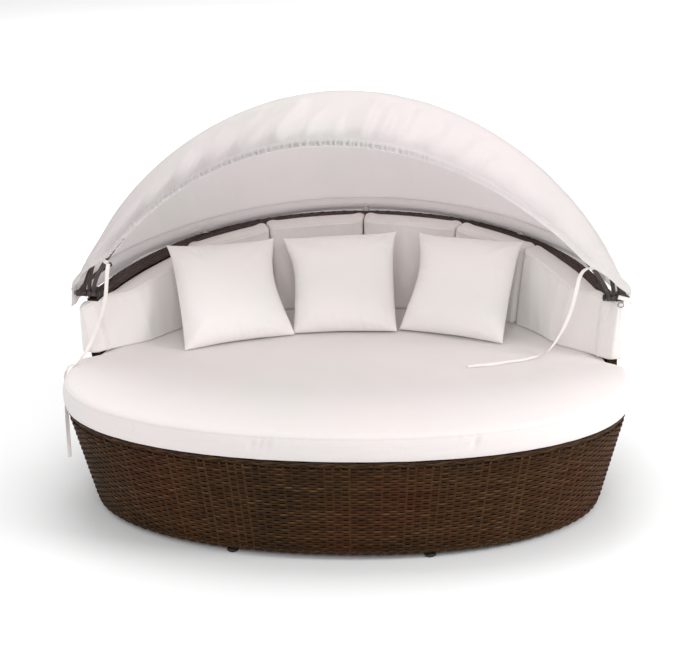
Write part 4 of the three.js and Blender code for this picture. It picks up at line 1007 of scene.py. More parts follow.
for s, nm in ((1, "left"), (-1, "right")):
    c = (0.0, PIVOT_Y, PIVOT_Z)
    x0, x1 = X_FRONT - EYE_W / 2 - 0.013, X_REAR + EYE_W / 2 + 0.004
    hex_r = lambda x, r, w: np.where(r > 0.0055, r * 0.93 / np.cos((w + np.pi / 6) % (np.pi / 3) - np.pi / 6), r)
    thread = [(x0 - 0.0000, 0.0004), (x0, 0.0034), (x0 + 0.0006, 0.0040)]
    k = x0 + 0.0012
    while k < x0 + 0.0105:
        thread += [(k, 0.0040), (k + 0.0004, 0.0036), (k + 0.0008, 0.0040)]
        k += 0.0011
    shank = thread + [(x1, 0.0040), (x1, 0.0004)]
    parts = [lathe_x([(s * a, b) for a, b in shank], c, 32)]
    h0, h1 = X_REAR + EYE_W / 2 + 0.0023, X_REAR + EYE_W / 2 + 0.0078
    head = [(h0, 0.0005), (h0, 0.0068), (h0 + 0.0004, 0.0075), (h1 - 0.0010, 0.0075), (h1 - 0.0002, 0.0066), (h1, 0.0052), (h1 - 0.0003, 0.0042), (h1 - 0.0003, 0.0005)]
    parts.append(lathe_x([(s * a, b) for a, b in head], c, 72, hex_r))
    v, f = join_arrays(parts)
    put(mesh_obj(f"bolt_{nm}", v, f, mats=M_STEEL), "root", [f"pivot_bolt_{nm}"])
    w0, w1 = X_REAR + EYE_W / 2 + 0.0004, X_REAR + EYE_W / 2 + 0.0019
    v, f = lathe_x([(s * a, b) for a, b in [(w0, 0.0046), (w0, 0.0092), (w0 + 0.0003, 0.0095), (w1 - 0.0003, 0.0095), (w1, 0.0092), (w1, 0.0046)]], c, 48)
    put(mesh_obj(f"washer_{nm}", v, outward(v, f), mats=M_STEEL), "root", [f"pivot_washer_{nm}"])
    k0 = X_FRONT - EYE_W / 2 - 0.0014
    lob = lambda x, r, w: np.where(r > 0.006, r * (0.0104 + 0.0013 * np.cos(5 * w)) / 0.0104, r)
    kp = [(k0, 0.0046), (k0, 0.0078), (k0 - 0.0006, 0.0090), (k0 - 0.0018, 0.0102), (k0 - 0.0030, 0.0104), (k0 - 0.0074, 0.0104), (k0 - 0.0090, 0.0100),
          (k0 - 0.0100, 0.0086), (k0 - 0.0104, 0.0064), (k0 - 0.0100, 0.0058), (k0 - 0.0098, 0.0050), (k0 - 0.0098, 0.0046)]
    v, f = lathe_x([(s * a, b) for a, b in kp], c, 80, lob)
    put(mesh_obj(f"knob_{nm}", v, outward(v, f), mats=M_KNOB), "root", [f"pivot_knob_{nm}"])


def softened(name, source, width, mat, body, segments=2):
    """The same solid as a CAD node, with its edges rounded off."""
    import bmesh
    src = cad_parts[source]
    me = src.data.copy()
    me.name = name
    bm = bmesh.new()
    bm.from_mesh(me)
    bmesh.ops.remove_doubles(bm, verts=bm.verts, dist=2e-5)
    bmesh.ops.dissolve_limit(bm, angle_limit=math.radians(2), verts=bm.verts, edges=bm.edges)
    edges = [e for e in bm.edges if len(e.link_faces) == 2 and e.calc_face_angle(0) > math.radians(28)]
    bmesh.ops.bevel(bm, geom=edges, offset=width, segments=segments, profile=0.6, affect="EDGES", clamp_overlap=True)
    bmesh.ops.triangulate(bm, faces=bm.faces)
    bmesh.ops.recalc_face_normals(bm, faces=bm.faces)
    bm.to_mesh(me)
    bm.free()
    me.materials.clear()
    me.materials.append(mat)
    for key in [a.name for a in me.attributes if a.name.startswith("custom_normal")]:
        me.attributes.remove(me.attributes[key])
    me.polygons.foreach_set("use_smooth", np.zeros(len(me.polygons), bool))
    o = bpy.data.objects.new(name, me)
    bpy.context.scene.collection.objects.link(o)
    return put(o, body, [source])


def round_shaded(o, deg=34):
    me = o.data
    me.polygons.foreach_set("use_smooth", np.ones(len(me.polygons), bool))
    me.set_sharp_from_angle(angle=math.radians(deg))
    return o


for nm in ("left", "right"):
    round_shaded(softened(f"bracket_{nm}", f"pivot_bracket_{nm}", 0.0006, M_BRACKET, "root"))
for nm in ("centre", "left", "right"):
    round_shaded(softened(f"clip_{nm}", f"rear_clip_{nm}", 0.0005, M_CLIP, "root"))

# feet: turned studs with a rounded pad
FEET = {n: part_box(f"foot_{n}") for n in ("front_left", "front_right", "side_left", "side_right", "rear_left", "rear_right")}
for n, (lo, hi) in FEET.items():
    cx, cy = (lo.x + hi.x) / 2, (lo.y + hi.y) / 2
    p = [(0, 0.0003), (0, 0.0132), (0.0003, 0.0142), (0.0012, 0.0155), (0.0034, 0.0178), (0.0050, 0.0180), (0.0086, 0.0179), (0.0100, 0.0170), (0.0118, 0.0130), (0.0142, 0.0089),
         (0.0158, 0.0066), (0.0175, 0.0060), (0.0390, 0.0060), (0.0394, 0.0056), (0.0394, 0.0003)]
    v, f = lathe_x(p, (0, 0, 0), 56)
    v = np.stack([cx + v[:, 1], cy + v[:, 2], v[:, 0]], 1)
    put(mesh_obj(f"stud_{n}", v, outward(v, f), mats=M_FOOT), "root", [f"foot_{n}"])


# sleeves of cloth tape knotted round the front bow, and the strap's ring
def sleeve(name, u0, node_name):
    uu = np.linspace(-0.0095, 0.0095, 17) / X_FRONT * 2.0
    u = u0 + np.linspace(-0.011, 0.011, 41)
    p = on_angle(X_FRONT * u, bow_reach(u, FRONT_ROUND), ANG_FRONT)
    d = np.concatenate([[0], np.cumsum(np.linalg.norm(np.diff(p, axis=0), axis=1))])
    mid = np.interp(u0, u, d)
    s = np.linspace(mid - 0.0088, mid + 0.0088, 19)
    path = np.stack([np.interp(s, d, p[:, k]) for k in range(3)], 1)
    f = np.linspace(0, 1, 19)
    swell = 0.00055 * np.sin(f * np.pi * 5 + 0.4) + 0.0004 * np.sin(f * np.pi)
    outer = tube(path, 0.0089 + swell, 40)
    w = np.arange(40) / 40 * 2 * np.pi
    turn = 0.00035 * np.sin(3 * w[None] + f[:, None] * 9)
    mid_line = path[:, None]
    outer = mid_line + (outer - mid_line) * (1 + turn / 0.009)[..., None]
    innr = tube(path, 0.0079, 40)
    v = np.vstack([outer, innr[::-1]])
    fcs = quads(len(v), 40, wrap_r=True, wrap_c=True)
    v = v.reshape(-1, 3)
    return put(mesh_obj(name, v, outward(v, fcs), mats=M_TAPE), "bow_front", [node_name])


sleeve("tie_wrap_left", 0.93, "tie_loop_left")
sleeve("tie_wrap_right", -0.92, "tie_loop_right")
lo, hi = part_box("strap_ring_left")
centre = (np.array(lo) + np.array(hi)) / 2
a = np.arange(72) / 72 * 2 * np.pi
ring_path = np.stack([0.0100 * np.cos(a), 0.0100 * np.sin(a), 0 * a], 1)
tilt = math.pi / 2 + 0.35
rot = np.array([[1, 0, 0], [0, math.cos(tilt), -math.sin(tilt)], [0, math.sin(tilt), math.cos(tilt)]])
ring_path = ring_path @ rot.T + centre
v = tube(ring_path, 0.0015, 16, closed=True, hint=rot @ np.array([0, 0, 1.0]))
fcs = quads(72, 16, wrap_r=True, wrap_c=True)
v = v.reshape(-1, 3)
put(mesh_obj("strap_ring", v, outward(v, fcs), mats=M_STEEL), "root", ["strap_ring_left"])


# ------------------------------------------------------------------ canopy: one sheet over the four bows
def grid_normals(P, wrap_c=False):
    if wrap_c:
        ext = np.concatenate([P[:, -1:], P, P[:, :1]], 1)
        dc = (ext[:, 2:] - ext[:, :-2]) / 2
    else:
        dc = np.gradient(P, axis=1)
    dr = np.gradient(P, axis=0)
    n = np.cross(dr, dc)
    l = np.linalg.norm(n, axis=-1)[..., None]
    return n / np.maximum(l, 1e-12)


def sheet_solid(name, P, N, thick, mat, attrs=None):
    """Closed thin sheet: P is the outer side, N points out of it."""
    rows, cols = P.shape[:2]
    v = np.concatenate([P.reshape(-1, 3), (P - N * thick).reshape(-1, 3)])
    f = quads(rows, cols)
    g = f[:, ::-1] + rows * cols
    edge = []
    idx = np.arange(rows * cols).reshape(rows, cols)
    loop = np.concatenate([idx[0, :], idx[1:, -1], idx[-1, -2::-1], idx[-2:0:-1, 0]])
    nxt = np.roll(loop, -1)
    edge = np.stack([loop, nxt, nxt + rows * cols, loop + rows * cols], 1)
    fcs = np.vstack([f, g, edge])
    # keep the rim faces turned the same way as the sides they join
    a, b, c = v[f[len(f) // 2, 0]], v[f[len(f) // 2, 1]], v[f[len(f) // 2, 2]]
    mid = N.reshape(-1, 3)[f[len(f) // 2, 0]]
    if np.dot(np.cross(b - a, c - a), mid) < 0:
        fcs = fcs[:, ::-1]
    o = mesh_obj(name, v, fcs, mats=mat, attrs={k: np.concatenate([x.ravel(), x.ravel()]) for k, x in (attrs or {}).items()})
    return o


COLS = 380
R0 = 0.030


def edge_line(half, out, rnd=BOW_ROUND, count=COLS):
    return bow_line(half, count, R0, out, rnd)


BOW_OUT = TUBE_R + 0.0026
lineR = edge_line(X_REAR, TUBE_R + 0.0072)
lineMR = edge_line(X_MID_REAR, BOW_OUT + 0.0012)
lineMF = edge_line(X_MID_FRONT, BOW_OUT + 0.0012)
lineF = edge_line(X_FRONT, BOW_OUT, FRONT_ROUND)


def skirt(x, r):
    """Angle of the cloth's lower edge: on top of the rim where it lies over it, lower where it hangs outside it."""
    y = PIVOT_Y + r * 0.985
    f = ((np.abs(x) / HALF_W) ** OVAL_N + (np.maximum(0, y - YC) / DEPTH_BACK) ** OVAL_N) ** (1 / OVAL_N)
    past = (f - 1) * 0.86 + 0.0018
    hang = np.interp(past, [-0.0090, -0.0070, -0.0050, -0.0030, -0.0010, 0.0, 0.030], [-0.0006, -0.0016, -0.0034, -0.0080, -0.0105, -0.0110, -0.0260])
    low = -25.0 * smooth(r, 0.032, 0.085)
    return np.clip(np.degrees(np.arcsin(np.clip((rim_height(y) + hang - PIVOT_Z) / r, -1, 1))), low, ANG_REAR - 2.4)


def outwards(x, r):
    """Close to the pivots the cloth leaves the bows, first for the width of the rear one, then to stand outside all the fittings."""
    wide_r = np.interp(r, lineR[: COLS // 2, 1], -lineR[: COLS // 2, 0])
    side = np.sign(x)
    near = np.where(x < 0, 1 - smooth(r, 0.09, 0.215), 1 - smooth(r, 0.07, 0.20))
    x = x * (1 - near) + side * np.maximum(np.abs(x), wide_r - np.where(x < 0, 0.022, 0.030)) * near
    wl = np.where(x < 0, 1 - smooth(r, 0.030, 0.092), 0.0)
    wr = np.where(x > 0, 1 - smooth(r, 0.030, 0.086), 0.0)
    return x * (1 - wl - wr) - 0.9385 * wl + 0.9392 * wr


def stretch(la, dega, lb, degb, fs):
    """Rows between two bow lines. fs goes from 0 at the first to 1 at the second."""
    f = fs[:, None]
    x = la[None, :, 0] * (1 - f) + lb[None, :, 0] * f
    r = la[None, :, 1] * (1 - f) + lb[None, :, 1] * f
    deg = np.asarray(dega) * (1 - f) + degb * f
    return x, r, np.broadcast_to(deg, x.shape)


n1, n2, n3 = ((36, 30, 44))
f1, f2, f3 = np.linspace(0, 1, n1 + 1)[:-1], np.linspace(0, 1, n2 + 1)[:-1], np.linspace(0, 1, n3 + 1)
x1, r1, g1 = stretch(lineR, skirt(lineR[:, 0], lineR[:, 1])[None], lineMR, ANG_MID_REAR, f1)
# below the rear bow the cloth hangs straight down from it
past1 = np.clip((g1 - ANG_REAR) / (ANG_MID_REAR - ANG_REAR), 0, 1)
x1 = lineR[None, :, 0] * (1 - past1) + lineMR[None, :, 0] * past1
r1 = lineR[None, :, 1] * (1 - past1) + lineMR[None, :, 1] * past1
x2, r2, g2 = stretch(lineMR, ANG_MID_REAR, lineMF, ANG_MID_FRONT, f2)
x3, r3, g3 = stretch(lineMF, ANG_MID_FRONT, lineF, ANG_FRONT, f3)
f4 = np.array([0.35, 0.7, 1.0])
x4, r4, g4 = stretch(lineF, ANG_FRONT, lineF, ANG_FRONT + 1.15, f4)
X, Rr, G = np.vstack([x1, x2, x3, x4]), np.vstack([r1, r2, r3, r4]), np.vstack([g1, g2, g3, g4])
X = outwards(X, Rr)
u = np.clip(X / np.array([X_REAR]), -1, 1)
base = on_angle(X, Rr, G)
N = grid_normals(base)
probe = base[base.shape[0] // 2, COLS // 2]
if np.dot(N[base.shape[0] // 2, COLS // 2], probe - np.array([0, PIVOT_Y, PIVOT_Z])) < 0:
    N = -N
F = np.repeat(np.concatenate([f1, f2, f3, np.ones(3)])[:, None], COLS, 1)
F[:n1] = past1
band = np.concatenate([np.zeros(n1), np.ones(n2), np.full(n3 + 1, 2), np.full(3, 3)])[:, None]
S = np.broadcast_to(np.linspace(0, 1, COLS)[None], X.shape)
across = np.concatenate([[0], np.cumsum(np.linalg.norm(np.diff(base[-4], axis=0), axis=1))])
L = float(across[-1])
A = np.broadcast_to(across[None], X.shape)
reach = np.clip(Rr / BOW_R, 0, 1)
arch = np.sin(np.pi * F)
# slack between the bows, more in the middle of each stretch
droop = np.where(band == 2, 0.85 * arch ** 2 * (1 - 0.8 * smooth(F, 0.45, 0.95)), arch ** 2)
sag = np.where(band < 3, 0.0125 * droop * smooth(reach, 0.05, 0.75), 0)
h = -sag
# long soft folds that lean up and to +X on the front stretch
Xm = X + 0.0
lean = (1 - F) * 0.075
p = Xm - lean + 0.006 * wavy(F * 0.9 + Xm, 5, 4, 0.6, 2.0)
env = smooth(F, 0.08, 0.38) * (1 - smooth(F, 0.88, 1.0))
# each fold: place of its crest at the hem, height, width of its long left slope and of its short right one, how far back it runs
CRESTS = [(-0.640, 0.0120, 0.045, 0.016, 0.9), (-0.520, 0.0200, 0.054, 0.017, 1.0), (-0.405, 0.0235, 0.056, 0.018, 1.0), (-0.296, 0.0240, 0.056, 0.018, 1.0),
          (-0.176, 0.0225, 0.056, 0.018, 1.0), (-0.085, 0.0070, 0.030, 0.014, 0.7), (0.000, 0.0060, 0.026, 0.012, 0.6), (0.082, 0.0190, 0.040, 0.015, 1.0),
          (0.142, 0.0155, 0.030, 0.012, 1.0), (0.197, 0.0160, 0.030, 0.012, 1.0), (0.292, 0.0165, 0.038, 0.014, 1.0), (0.375, 0.0140, 0.034, 0.013, 0.9), (0.450, 0.0115, 0.030, 0.013, 0.8), (0.530, 0.0075, 0.03, 0.014, 0.7)]
rise_ = np.zeros_like(p)
for at, high_, wl_, wr_, run in CRESTS:
    d_ = p - at
    wide_ = np.where(d_ < 0, wl_, wr_) * (0.85 + 0.30 * (1 - F))
    rise_ = np.maximum(rise_, high_ * np.exp(-np.abs(d_ / wide_) ** 1.7) * smooth(F, 1.0 - run, 1.36 - run))
calm = 0.26 * np.interp(Xm, [-0.70, -0.55, -0.15, 0.1, 0.5], [0.010, 0.022, 0.021, 0.010, 0.003])
h = h + np.where(band == 2, (rise_ - calm) * env * smooth(reach, 0.12, 0.42), 0)
# short folds close to the hem
q2 = (p * 1.0 + 0.01 * wavy(p, 8, 5, 2, 6)) / 0.044
short = np.abs(np.cos(np.pi * q2)) ** 0.7 - 0.6
h = h + np.where(band == 2, short * 0.0042 * smooth(F, 0.45, 0.9) * (1 - smooth(F, 0.93, 1.0)) * (0.35 + 0.65 * smooth(wavy(p, 9, 4, 0.8, 2.4), -0.2, 0.6)), 0)
# gentler folds on the stretches behind it
p1 = Xm + 0.05 * F
h = h + np.where(band == 1, (np.abs(np.cos(np.pi * (p1 + 0.03 * wavy(p1, 14, 5, 0.6, 2)) / 0.16)) ** 0.7 - 0.6) * 0.0040 * arch * smooth(reach, 0.15, 0.5), 0)
h = h + np.where(band == 0, (np.abs(np.cos(np.pi * (p1 * 1.1 + 0.03 * wavy(p1, 15, 5, 0.6, 2)) / 0.14)) ** 0.7 - 0.6) * 0.0042 * np.sin(np.pi * np.clip(F * 1.15, 0, 1)) * smooth(reach, 0.15, 0.5), 0)
# pleats where the cloth gathers towards the pivots
fan = np.sin(np.radians(G) * 26 + 1.3 * wavy(np.radians(G), 17, 5, 0.5, 2.5))
h = h + 0.0016 * fan * arch * smooth(reach, 0.03, 0.10) * (1 - smooth(reach, 0.25, 0.62))
h = h + 0.0006 * wavy2(A * 1.0, np.radians(G) * BOW_R, 18, 12, 4, 14) * arch
P = base + N * h[..., None]
N2 = grid_normals(P)
N2 *= np.sign((N2 * N).sum(-1))[..., None]
ROWS_C = P.shape[0]
turn = np.clip((G[:, 0] - 5) / 112, 0, 1)


def bezier(a, b, c, d, t):
    t = t[None, :, None]
    a, b, c, d = (q[:, None] for q in (a, b, c, d))
    return (1 - t) ** 3 * a + 3 * t * (1 - t) ** 2 * b + 3 * t * t * (1 - t) * c + t ** 3 * d


KL, KR = 16, 6
tl = np.linspace(0, 1, KL + 1)[1:]
A0 = P[:, 0]
low_y = PIVOT_Y + 0.080 - 0.122 * turn
C0 = np.stack([np.full(ROWS_C, -0.9382), low_y, 0.6080 + 0.003 * np.sin(turn * 9)], 1)
B1 = np.stack([np.full(ROWS_C, -0.9390), A0[:, 1] * 0.9 + low_y * 0.1, A0[:, 2] + 0.001], 1)
B2 = np.stack([np.full(ROWS_C, -0.9392), A0[:, 1] * 0.3 + low_y * 0.7, np.full(ROWS_C, 0.640)], 1)
flap = bezier(A0, B1, B2, C0, tl)
flap[..., 0] -= 0.0012 * np.sin(turn * 17)[:, None] * np.sin(np.pi * np.clip(tl * 1.1, 0, 1))[None]
tr = np.linspace(0, 1, KR + 1)[1:]
A1 = P[:, -1]
C1 = np.stack([np.full(ROWS_C, 0.9392), PIVOT_Y + 0.006 - 0.022 * turn, PIVOT_Z + 0.004 - 0.020 * np.sin(np.pi * turn) - 0.008 * turn], 1)
D1 = np.stack([np.full(ROWS_C, 0.9420), A1[:, 1], A1[:, 2] + 0.001], 1)
tuck = bezier(A1, D1, (D1 + C1) / 2, C1, tr)
P = np.concatenate([flap[:, ::-1], P, tuck], 1)
G = np.concatenate([np.repeat(G[:, :1], KL, 1), G, np.repeat(G[:, -1:], KR, 1)], 1)
hold = np.concatenate([np.broadcast_to(1 - smooth(tl, 0.0, 0.6), (ROWS_C, KL))[:, ::-1], np.ones((ROWS_C, COLS)), np.broadcast_to(1 - 0.5 * smooth(tr, 0, 1), (ROWS_C, KR))], 1)
N0 = N2
N2 = grid_normals(P)
if (N2[:, KL:KL + COLS] * N0).sum() < 0:
    N2 = -N2
canopy = sheet_solid("canopy_sheet", P, N2, 0.0013, M_CANOPY)
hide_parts("canopy_panel_rear", "canopy_panel_middle", "canopy_panel_front")
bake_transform(canopy, "root", "bow_front", start=(0, PIVOT_Y + 0.1, PIVOT_Z), end=(0, PIVOT_Y, PIVOT_Z + 0.6))


def follow(deg):
    """Share of the front bow's turn that the cloth takes at this angle round the pivots."""
    return np.interp(deg, [ANG_REAR, ANG_MID_REAR, ANG_MID_FRONT, ANG_FRONT], [0.0, 0.345, 0.690, 1.0])


share = follow(G) * hold
canopy.data.attributes["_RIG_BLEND"].data.foreach_set("value", np.concatenate([share.ravel(), share.ravel()]).astype(np.float32))

def casing(name, half, deg, rnd, pts, u0, u1, body, count, seed, ruff, even=False):
    """Inner half of the sleeve of cloth round a bow. pts are (distance along the cloth, offset from the bow's centre line)."""
    line = bow_line(half, count * 2, 0.02, 0.0, rnd)
    step = line - bow_line(half, count * 2, 0.02, -0.001, rnd)
    way = step / np.linalg.norm(step, axis=1)[:, None]
    keep = (line[:, 0] > u0 * half) & (line[:, 0] < u1 * half)
    line, way = line[keep], way[keep]
    k = catmull([(a / 1000, b / 1000, 0) for a, b in pts], 17)
    s_ = np.linspace(0, 1, len(line))[None] * 2.0
    dist = k[:, 0][:, None] * np.ones_like(s_)
    off = k[:, 1][:, None] + ruff * np.sin(np.linspace(0, np.pi, 17))[:, None] * wavy(s_, seed, 8, 4, 14)
    x = line[None, :, 0] + way[None, :, 0] * off
    r = line[None, :, 1] + way[None, :, 1] * off
    low = -(deg - skirt(line[:, 0], line[:, 1])) * np.radians(1) * line[:, 1] + 0.003 if body == "root" else np.full(len(line), -1.0)
    dist = np.maximum(dist, low[None] + 0.002 * np.linspace(0, 1, 17)[:, None])
    turn_by = np.degrees(dist / np.maximum(line[None, :, 1], 0.05))
    if even:
        turn_by = np.where(dist > 0, np.minimum(turn_by, np.degrees(dist / BOW_R) * 1.0 + 0.0 * turn_by), turn_by)
    Q = on_angle(x, r, deg + turn_by)
    NN = grid_normals(Q)
    hub_ = np.array([0, PIVOT_Y, PIVOT_Z])
    if np.dot(NN[8, len(line) // 2], Q[8, len(line) // 2] - hub_) > 0:
        NN = -NN
    o = sheet_solid(name, Q, NN, 0.0010, M_POCKET_LIGHTENED)
    put(o, body)
    return o


rear_case = casing("canopy_rear_casing", X_REAR, ANG_REAR, BOW_ROUND, [(-62, 12.2), (-42, 10.0), (-26, 3.5), (-12, -6.8), (0, -9.8), (8, -7.4), (13, -2.0), (19, 7.0)], -0.93, 0.93, "root", 260, 26, 0.0006)
front_case = casing("canopy_front_casing", X_FRONT, ANG_FRONT, FRONT_ROUND, [(27, 4.4), (21, 1.4), (12, -5.8), (0, -9.4), (-13, -6.2), (-27, -2.0), (-41, -0.6)], -0.905, 0.80, "bow_front", 420, 27, 0.0009, True)

# gathered hem along the front bow
HC = 860
HR = 12
hl = bow_line(X_FRONT, HC, R0, 0.0, FRONT_ROUND)
a = hl - bow_line(X_FRONT, HC, R0, -0.001, FRONT_ROUND)
out_dir = a / np.linalg.norm(a, axis=1)[:, None]
fv = np.linspace(0, 1, HR)[:, None]
dist_h = -0.005 + 0.029 * fv
s_m = np.linspace(0, 1, HC)[None] * L
off = 0.0112 + 0.0006 * np.sin(np.pi * fv) - 0.0062 * smooth(fv, 0.35, 1.0)
xm = hl[None, :, 0]
gather = 1 - smooth(xm, 0.20, 0.36) * 0.86
wob = s_m + 0.0068 * wavy(s_m, 23, 9, 2, 19)
slant = 0.0035 * fv + 0.0030 * fv * wavy(s_m, 29, 9, 3, 18)
scallop = np.cos(2 * np.pi * (wob + slant) / 0.0152) * 0.55 + np.cos(2 * np.pi * (wob - slant) / 0.0236 + 1.1) * 0.45
scallop = np.sign(scallop) * np.abs(scallop) ** 0.8
level = np.clip(0.86 + 0.40 * wavy(s_m, 24, 8, 2, 14), 0.40, 1.20)
off = off + gather * scallop * (0.0007 + 0.0025 * smooth(fv, 0.10, 0.8)) * level
x = hl[None, :, 0] + out_dir[None, :, 0] * off
r = hl[None, :, 1] + out_dir[None, :, 1] * off
uneven = gather * level * (0.0024 * np.sin(2 * np.pi * wob / 0.0236 + 0.4) + 0.0014 * np.sin(2 * np.pi * wob / 0.0152 + 2.0)) + 0.0012 * wavy(s_m, 28, 9, 3, 16)
dw = ANG_FRONT + np.degrees((dist_h + uneven * smooth(fv, 0.3, 1.0)) / np.maximum(r, 0.05))
HP = on_angle(outwards(x, r), r, dw)
HN = grid_normals(HP)
if np.dot(HN[HR // 2, HC // 2], HP[HR // 2, HC // 2] - np.array([0, PIVOT_Y, PIVOT_Z])) < 0:
    HN = -HN
hem = sheet_solid("canopy_hem_band", HP, HN, 0.0011, M_CANOPY)
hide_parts("canopy_hem")
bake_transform(hem, "root", "bow_front", start=(0, PIVOT_Y + 0.1, PIVOT_Z), end=(0, PIVOT_Y, PIVOT_Z + 0.6))
hem.data.attributes["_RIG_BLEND"].data.foreach_set("value", np.ones(HR * HC * 2, np.float32))

print("canopy done")


# ------------------------------------------------------------------ cushions
def closed_rings(rings, cap0=True, cap1=True):
    """Quads over rings (rows, cols) closed round, with a fan at each end."""
    rows, cols = rings.shape[:2]
    v = rings.reshape(-1, 3)
    f4 = quads(rows, cols, wrap_c=True)
    tri, extra = [], []
    k = np.arange(cols)
    for end, use in ((0, cap0), (rows - 1, cap1)):
        if not use:
            continue
        c = len(v) + len(extra)
        extra.append(rings[end].mean(0))
        a, b = end * cols + k, end * cols + (k + 1) % cols
        tri.append(np.stack([a, b, np.full(cols, c)], 1) if end == 0 else np.stack([b, a, np.full(cols, c)], 1))
    v = np.vstack([v, np.array(extra)]) if extra else v
    f3 = np.vstack(tri)
    vol = (v[f4[:, 0]] * np.cross(v[f4[:, 1]], v[f4[:, 2]])).sum() + (v[f4[:, 0]] * np.cross(v[f4[:, 2]], v[f4[:, 3]])).sum() + (v[f3[:, 0]] * np.cross(v[f3[:, 1]], v[f3[:, 2]])).sum()
    if vol < 0:
        f4, f3 = f4[:, ::-1], f3[:, ::-1]
    return v, f4, f3


def seat_inset(y):
    t = np.clip((y - YC - 0.102) / 0.076, 0, 1)
    return -0.006 + 0.054 * t * t * (3 - 2 * t)


SN = 700
th, seat_len = even_angles(0, 2 * math.pi, SN, closed=True)
y0 = oval(th, HALF_W, DEPTH_FRONT, DEPTH_BACK)[1]
ci = seat_inset(y0)
side_prof = np.array([
    (0.3418, 0.0190), (0.3424, 0.0120), (0.3440, 0.0072), (0.3470, 0.0040), (0.3504, 0.0030), (0.3520, 0.0036), (0.3545, 0.0018), (0.3600, 0.0002), (0.3700, -0.0014), (0.3850, -0.0020),
    (0.4000, -0.0012), (0.4090, 0.0006), (0.4140, 0.0022), (0.4164, 0.0044), (0.4180, 0.0038), (0.4212, 0.0042), (0.4252, 0.0068), (0.4284, 0.0112), (0.4306, 0.0170), (0.4320, 0.0240),
])
sp = resample(side_prof, 34)
s_len = np.arange(SN) / SN * seat_len
edge_pucker = wavy(s_len, 101, 9, 12, 34)
long_wave = wavy(s_len, 102, 6, 0.8, 3)
rings = []
for z, ins in sp:
    near_top = math.exp(-((z - 0.4164) / 0.010) ** 2)
    near_bot = math.exp(-((z - 0.3520) / 0.010) ** 2)
    d = ci + ins
    d = d + 0.0007 * near_top * edge_pucker + 0.0006 * near_bot * wavy(s_len, 103, 9, 12, 34) + 0.0012 * long_wave * math.sin(math.pi * (z - 0.341) / 0.09)
    d = d + 0.0006 * wavy2(s_len, np.full(SN, z * 3), 104, 12, 5, 16) * math.sin(math.pi * np.clip((z - 0.343) / 0.08, 0, 1))
    # a few short puckers under the top seam left of the middle
    for x0, wdt in ((-0.220, 0.0080), (-0.194, 0.0080), (-0.170, 0.0075), (0.455, 0.008), (-0.62, 0.008)):
        xx = oval(th, HALF_W, DEPTH_FRONT, DEPTH_BACK)[0]
        d = d + 0.0060 * np.exp(-((xx - x0 - (z - 0.40) * 0.25) / wdt) ** 2) * (y0 < YC) * math.exp(-((z - 0.398) / 0.020) ** 2)
    rings.append(plan(th, d, 1.0) * np.array([1, 1, 0]) + np.array([0, 0, 1.0]) * (z + 0.0004 * wavy(s_len, 105, 7, 3, 12))[:, None] )
edge_ring = rings[-1]
hub = np.array([0.0, YC + 0.11, 0.0])
TR = 52
for k in range(1, TR):
    s = (k / TR) ** 1.25 if k < TR else 1
    s = k / TR
    s = s ** 1.15
    p = edge_ring * np.array([1, 1, 0]) * (1 - s) + hub * s
    dist = np.linalg.norm((p - edge_ring)[:, :2], axis=1)
    reach_in = np.where(y0 > YC + 0.14, 0.07, 0.26)
    z = 0.4320 + 0.0060 * (1 - (1 - np.clip(dist / reach_in, 0, 1)) ** 2.4)
    fade = smooth(dist, 0.0, 0.05)
    z = z + 0.0011 * wavy2(p[:, 0], p[:, 1], 106, 12, 1.5, 6.5) * fade * 0.8
    z = z + 0.0006 * edge_pucker * np.exp(-dist / 0.03) * smooth(dist, 0.002, 0.012)
    z = np.minimum(z, 0.4404)
    rings.append(np.stack([p[:, 0], p[:, 1], z], 1))
# underside
under = []
for s in (0.75, 0.4, 0.1):
    p = rings[0] * np.array([1, 1, 0]) * (1 - s) + hub * s
    under.append(p + np.array([0, 0, 0.3416]))
v, f4, f3 = closed_rings(np.array(under[::-1][::-1][::-1] + rings))
o = mesh_obj("seat_pad", v, f4, f3, mats=M_SEAT)
put(o, "root", ["seat_cushion"])

FACE = np.array([[120, 46], [158, 50], [200, 76], [250, 108], [300, 140], [350, 165], [420, 172], [618, 164], [845, 188]]) / 1000.0
TH_A, TH_B, GAP = angle_at(YC + 0.618), angle_at(YC + 0.782), 0.0035


